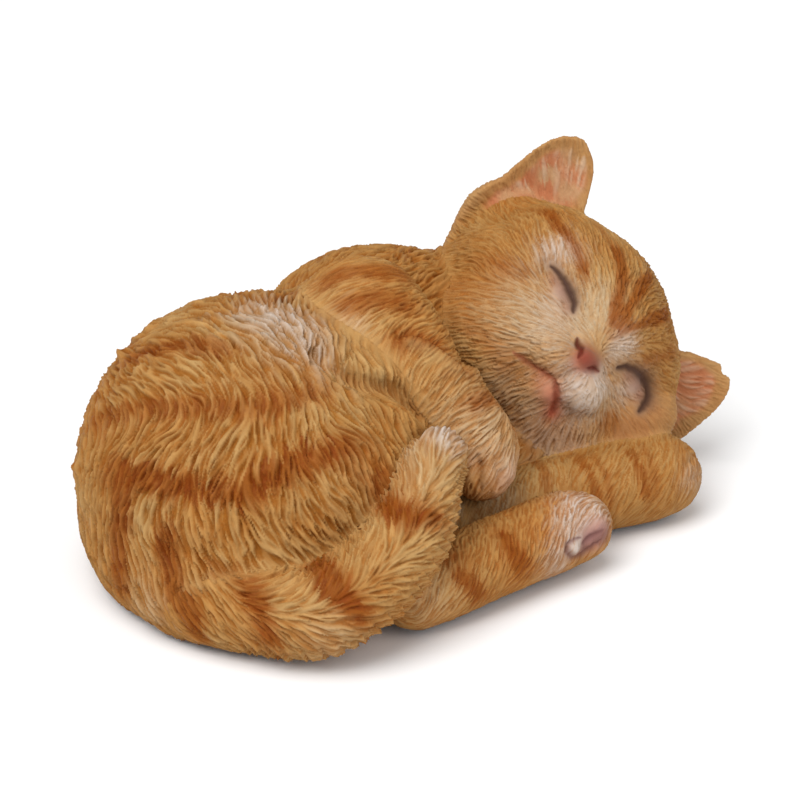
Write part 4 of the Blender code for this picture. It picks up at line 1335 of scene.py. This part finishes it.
for p in pieces.values():
    height, cut_depth = carve(p)
    p.furry = p.out * getattr(p, "bare", 1.0)
    p.outer = step(11, 30, np.linalg.norm(head_local(p.V) - NOSE, axis=1))
    p.calm = np.zeros(len(p.V))
    p.join = np.zeros(len(p.V))
    lock = ((p.relief - 0.45) * height - (p.cuts - 0.15) * cut_depth) * p.furry
    if p.name == "body_shell":
        c, _ = pick(285, 325)
        lock = lock * (1 + 0.6 * np.exp(-((p.V - c) ** 2).sum(1) / 14.0 ** 2))
        strip, _ = line_distance(p.V, pick_line([(338, 338), (352, 352), (375, 370), (400, 388), (415, 402)], "body_shell", 4.0))
        p.calm = np.exp(-(strip / 5.0) ** 2)      # shorter fur beside the foreleg
        lock = lock * (1 - 0.1 * p.calm)
    if p.name in ("body_shell", "upper_foreleg"):      # the shoulder runs into the flank without a step
        flank, _ = line_distance(p.V, pick_line([(322, 311), (345, 328), (365, 341), (390, 357)], p.name, 4.0))
        p.join = np.exp(-(flank / 3.0) ** 2)
        lock = lock * (1 - 0.75 * p.join)
    p.ear = step(0.6, 2.6, head_core(head_local(p.V).astype(F))) if p.name == "head" else 0.0
    if p.name == "head":
        lock = lock * (0.95 + 0.3 * p.outer) * (1 - 0.5 * p.ear) * (1 - 0.45 * p.hollow)
    p.seam = np.exp(-(p.past / 0.6) ** 2)
    lock = lock * (1 - 0.2 * p.seam) - 0.9 * step(0.1, 0.6, p.past) * p.out
    lock = lock + p.tuft * 0.6
    if p.name == "tail":      # tips of the locks stand out along both edges
        lock = lock + fringe(p)
    lumps = {"body_shell": 0.8, "tail": 0.5, "upper_foreleg": 0.4}.get(p.name, 0.25)
    grain = 0.04 * noise(p.V, 1.1, 20) + 0.12 * noise(p.V, 3.2, 21) + lumps * noise(p.V, 13.0, 22)
    V = p.V + p.N * (lock + grain * p.out + p.lift * p.out)[:, None]
    V[:, 2] = np.maximum(V[:, 2], UNDERSIDE)
    C = paint(p)
    mesh = bpy.data.meshes.new(p.name + "_carved")
    mesh.vertices.add(len(V))
    mesh.vertices.foreach_set("co", to_world(V).astype(F).ravel())
    mesh.loops.add(len(p.Q) * 4)
    mesh.loops.foreach_set("vertex_index", p.Q.astype(np.int32).ravel())
    mesh.polygons.add(len(p.Q))
    mesh.polygons.foreach_set("loop_start", np.arange(0, len(p.Q) * 4, 4, dtype=np.int32))
    mesh.polygons.foreach_set("loop_total", np.full(len(p.Q), 4, np.int32))
    mesh.update(calc_edges=True)
    mesh.shade_smooth()
    col = mesh.attributes.new("paint", "FLOAT_COLOR", "POINT")
    col.data.foreach_set("color", np.concatenate([C, np.ones((len(C), 1))], 1).astype(F).ravel())
    rel = mesh.attributes.new("relief", "FLOAT", "POINT")
    rel.data.foreach_set("value", (p.relief * p.furry).astype(F))
    obj = bpy.data.objects.new(p.name + "_carved", mesh)
    bpy.context.scene.collection.objects.link(obj)
    mesh.materials.append(painted_resin(p.name + "_paint"))
    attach(obj, "root")
    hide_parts(p.name)

# ---------------------------------------------------------------- carried-over pieces
def plain(name, colour, rough, scale, bump, metallic=0.0, vary=0.25):
    mat = bpy.data.materials.new(name)
    mat.use_nodes = True
    nt = mat.node_tree
    N, Lk = nt.nodes, nt.links
    bs = N["Principled BSDF"]
    co = N.new("ShaderNodeTexCoord")
    nz = N.new("ShaderNodeTexNoise")
    nz.inputs["Scale"].default_value = scale
    nz.inputs["Detail"].default_value = 8
    nz.inputs["Roughness"].default_value = 0.7
    Lk.new(co.outputs["Object"], nz.inputs["Vector"])
    ramp = N.new("ShaderNodeValToRGB")
    ramp.color_ramp.elements[0].position = 0.3
    ramp.color_ramp.elements[1].position = 0.7
    ramp.color_ramp.elements[0].color = (*[c * (1 - vary) for c in colour], 1)
    ramp.color_ramp.elements[1].color = (*[min(1, c * (1 + vary)) for c in colour], 1)
    Lk.new(nz.outputs["Fac"], ramp.inputs["Fac"])
    Lk.new(ramp.outputs["Color"], bs.inputs["Base Color"])
    ro = N.new("ShaderNodeMapRange")
    ro.inputs["To Min"].default_value = rough - 0.08
    ro.inputs["To Max"].default_value = min(1, rough + 0.08)
    Lk.new(nz.outputs["Fac"], ro.inputs["Value"])
    Lk.new(ro.outputs["Result"], bs.inputs["Roughness"])
    bs.inputs["Metallic"].default_value = metallic
    bp = N.new("ShaderNodeBump")
    bp.inputs["Strength"].default_value = bump
    bp.inputs["Distance"].default_value = 0.0004
    Lk.new(nz.outputs["Fac"], bp.inputs["Height"])
    Lk.new(bp.outputs["Normal"], bs.inputs["Normal"])
    return mat


plate_mat = plain("base_paint", BASE_EDGE * 0.8, 0.6, 420, 0.4)
felt_mat = plain("pressed_felt", srgb(58, 44, 36), 0.95, 1600, 0.8)
steel_mat = plain("drawn_steel", srgb(176, 176, 178), 0.34, 700, 0.15, 1.0, 0.1)
for name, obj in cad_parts.items():
    mat = plate_mat if name == "base_plate" else felt_mat if name.startswith("felt") else steel_mat if name.endswith("dowel") else None
    if mat:
        obj.data.materials.clear()
        obj.data.materials.append(mat)

# ================================================================ floor, light, camera
bpy.context.scene.view_settings.view_transform = "Standard"
bpy.ops.mesh.primitive_plane_add(size=6, location=(0, 0, 0))
floor = bpy.context.object
floor.name = "floor"
fm = bpy.data.materials.new("pale_floor")
fm.use_nodes = True
fm.node_tree.nodes["Principled BSDF"].inputs["Base Color"].default_value = (0.86, 0.86, 0.86, 1)
fm.node_tree.nodes["Principled BSDF"].inputs["Roughness"].default_value = 0.8
floor.data.materials.append(fm)

world = bpy.data.worlds.new("studio")
bpy.context.scene.world = world
world.use_nodes = True
world.node_tree.nodes["Background"].inputs["Color"].default_value = (1, 1, 1, 1)
world.node_tree.nodes["Background"].inputs["Strength"].default_value = 0.56


def lamp(name, at, size, power, aim=(0.0, 0.0, 0.03)):
    data = bpy.data.lights.new(name, "AREA")
    data.size = size
    data.energy = power
    obj = bpy.data.objects.new(name, data)
    bpy.context.scene.collection.objects.link(obj)
    obj.location = Vector(at)
    obj.rotation_euler = (Vector(aim) - Vector(at)).to_track_quat("-Z", "Y").to_euler()
    return obj


def studio(u, v, z):
    return to_world(np.array([[u, v, z]]))[0]


lamp("key", studio(-300, -480, 640), 0.45, 2.6)
lamp("fill", studio(520, -420, 360), 0.6, 1.6)
sun = bpy.data.lights.new("overhead", "SUN")
sun.energy = 1.8
sun.angle = math.radians(50)
sun_obj = bpy.data.objects.new("overhead", sun)
bpy.context.scene.collection.objects.link(sun_obj)
sun_obj.rotation_euler = (Vector((0, 0, 0)) - Vector(TURN @ np.array([-0.30, -0.35, 1.0]))).to_track_quat("-Z", "Y").to_euler()

cam = bpy.data.cameras.new("view")
cam.lens = LENS
cam.sensor_width = SENSOR
cam.clip_start = 0.01
cam_obj = bpy.data.objects.new("view", cam)
bpy.context.scene.collection.objects.link(cam_obj)
cam_obj.location = Vector(to_world(CAM[None])[0])
back = Vector(TURN @ CT)
right = Vector(TURN @ CR)
upv = Vector(TURN @ CU)
cam_obj.rotation_euler = Matrix((right, upv, back)).transposed().to_euler()
bpy.context.scene.camera = cam_obj
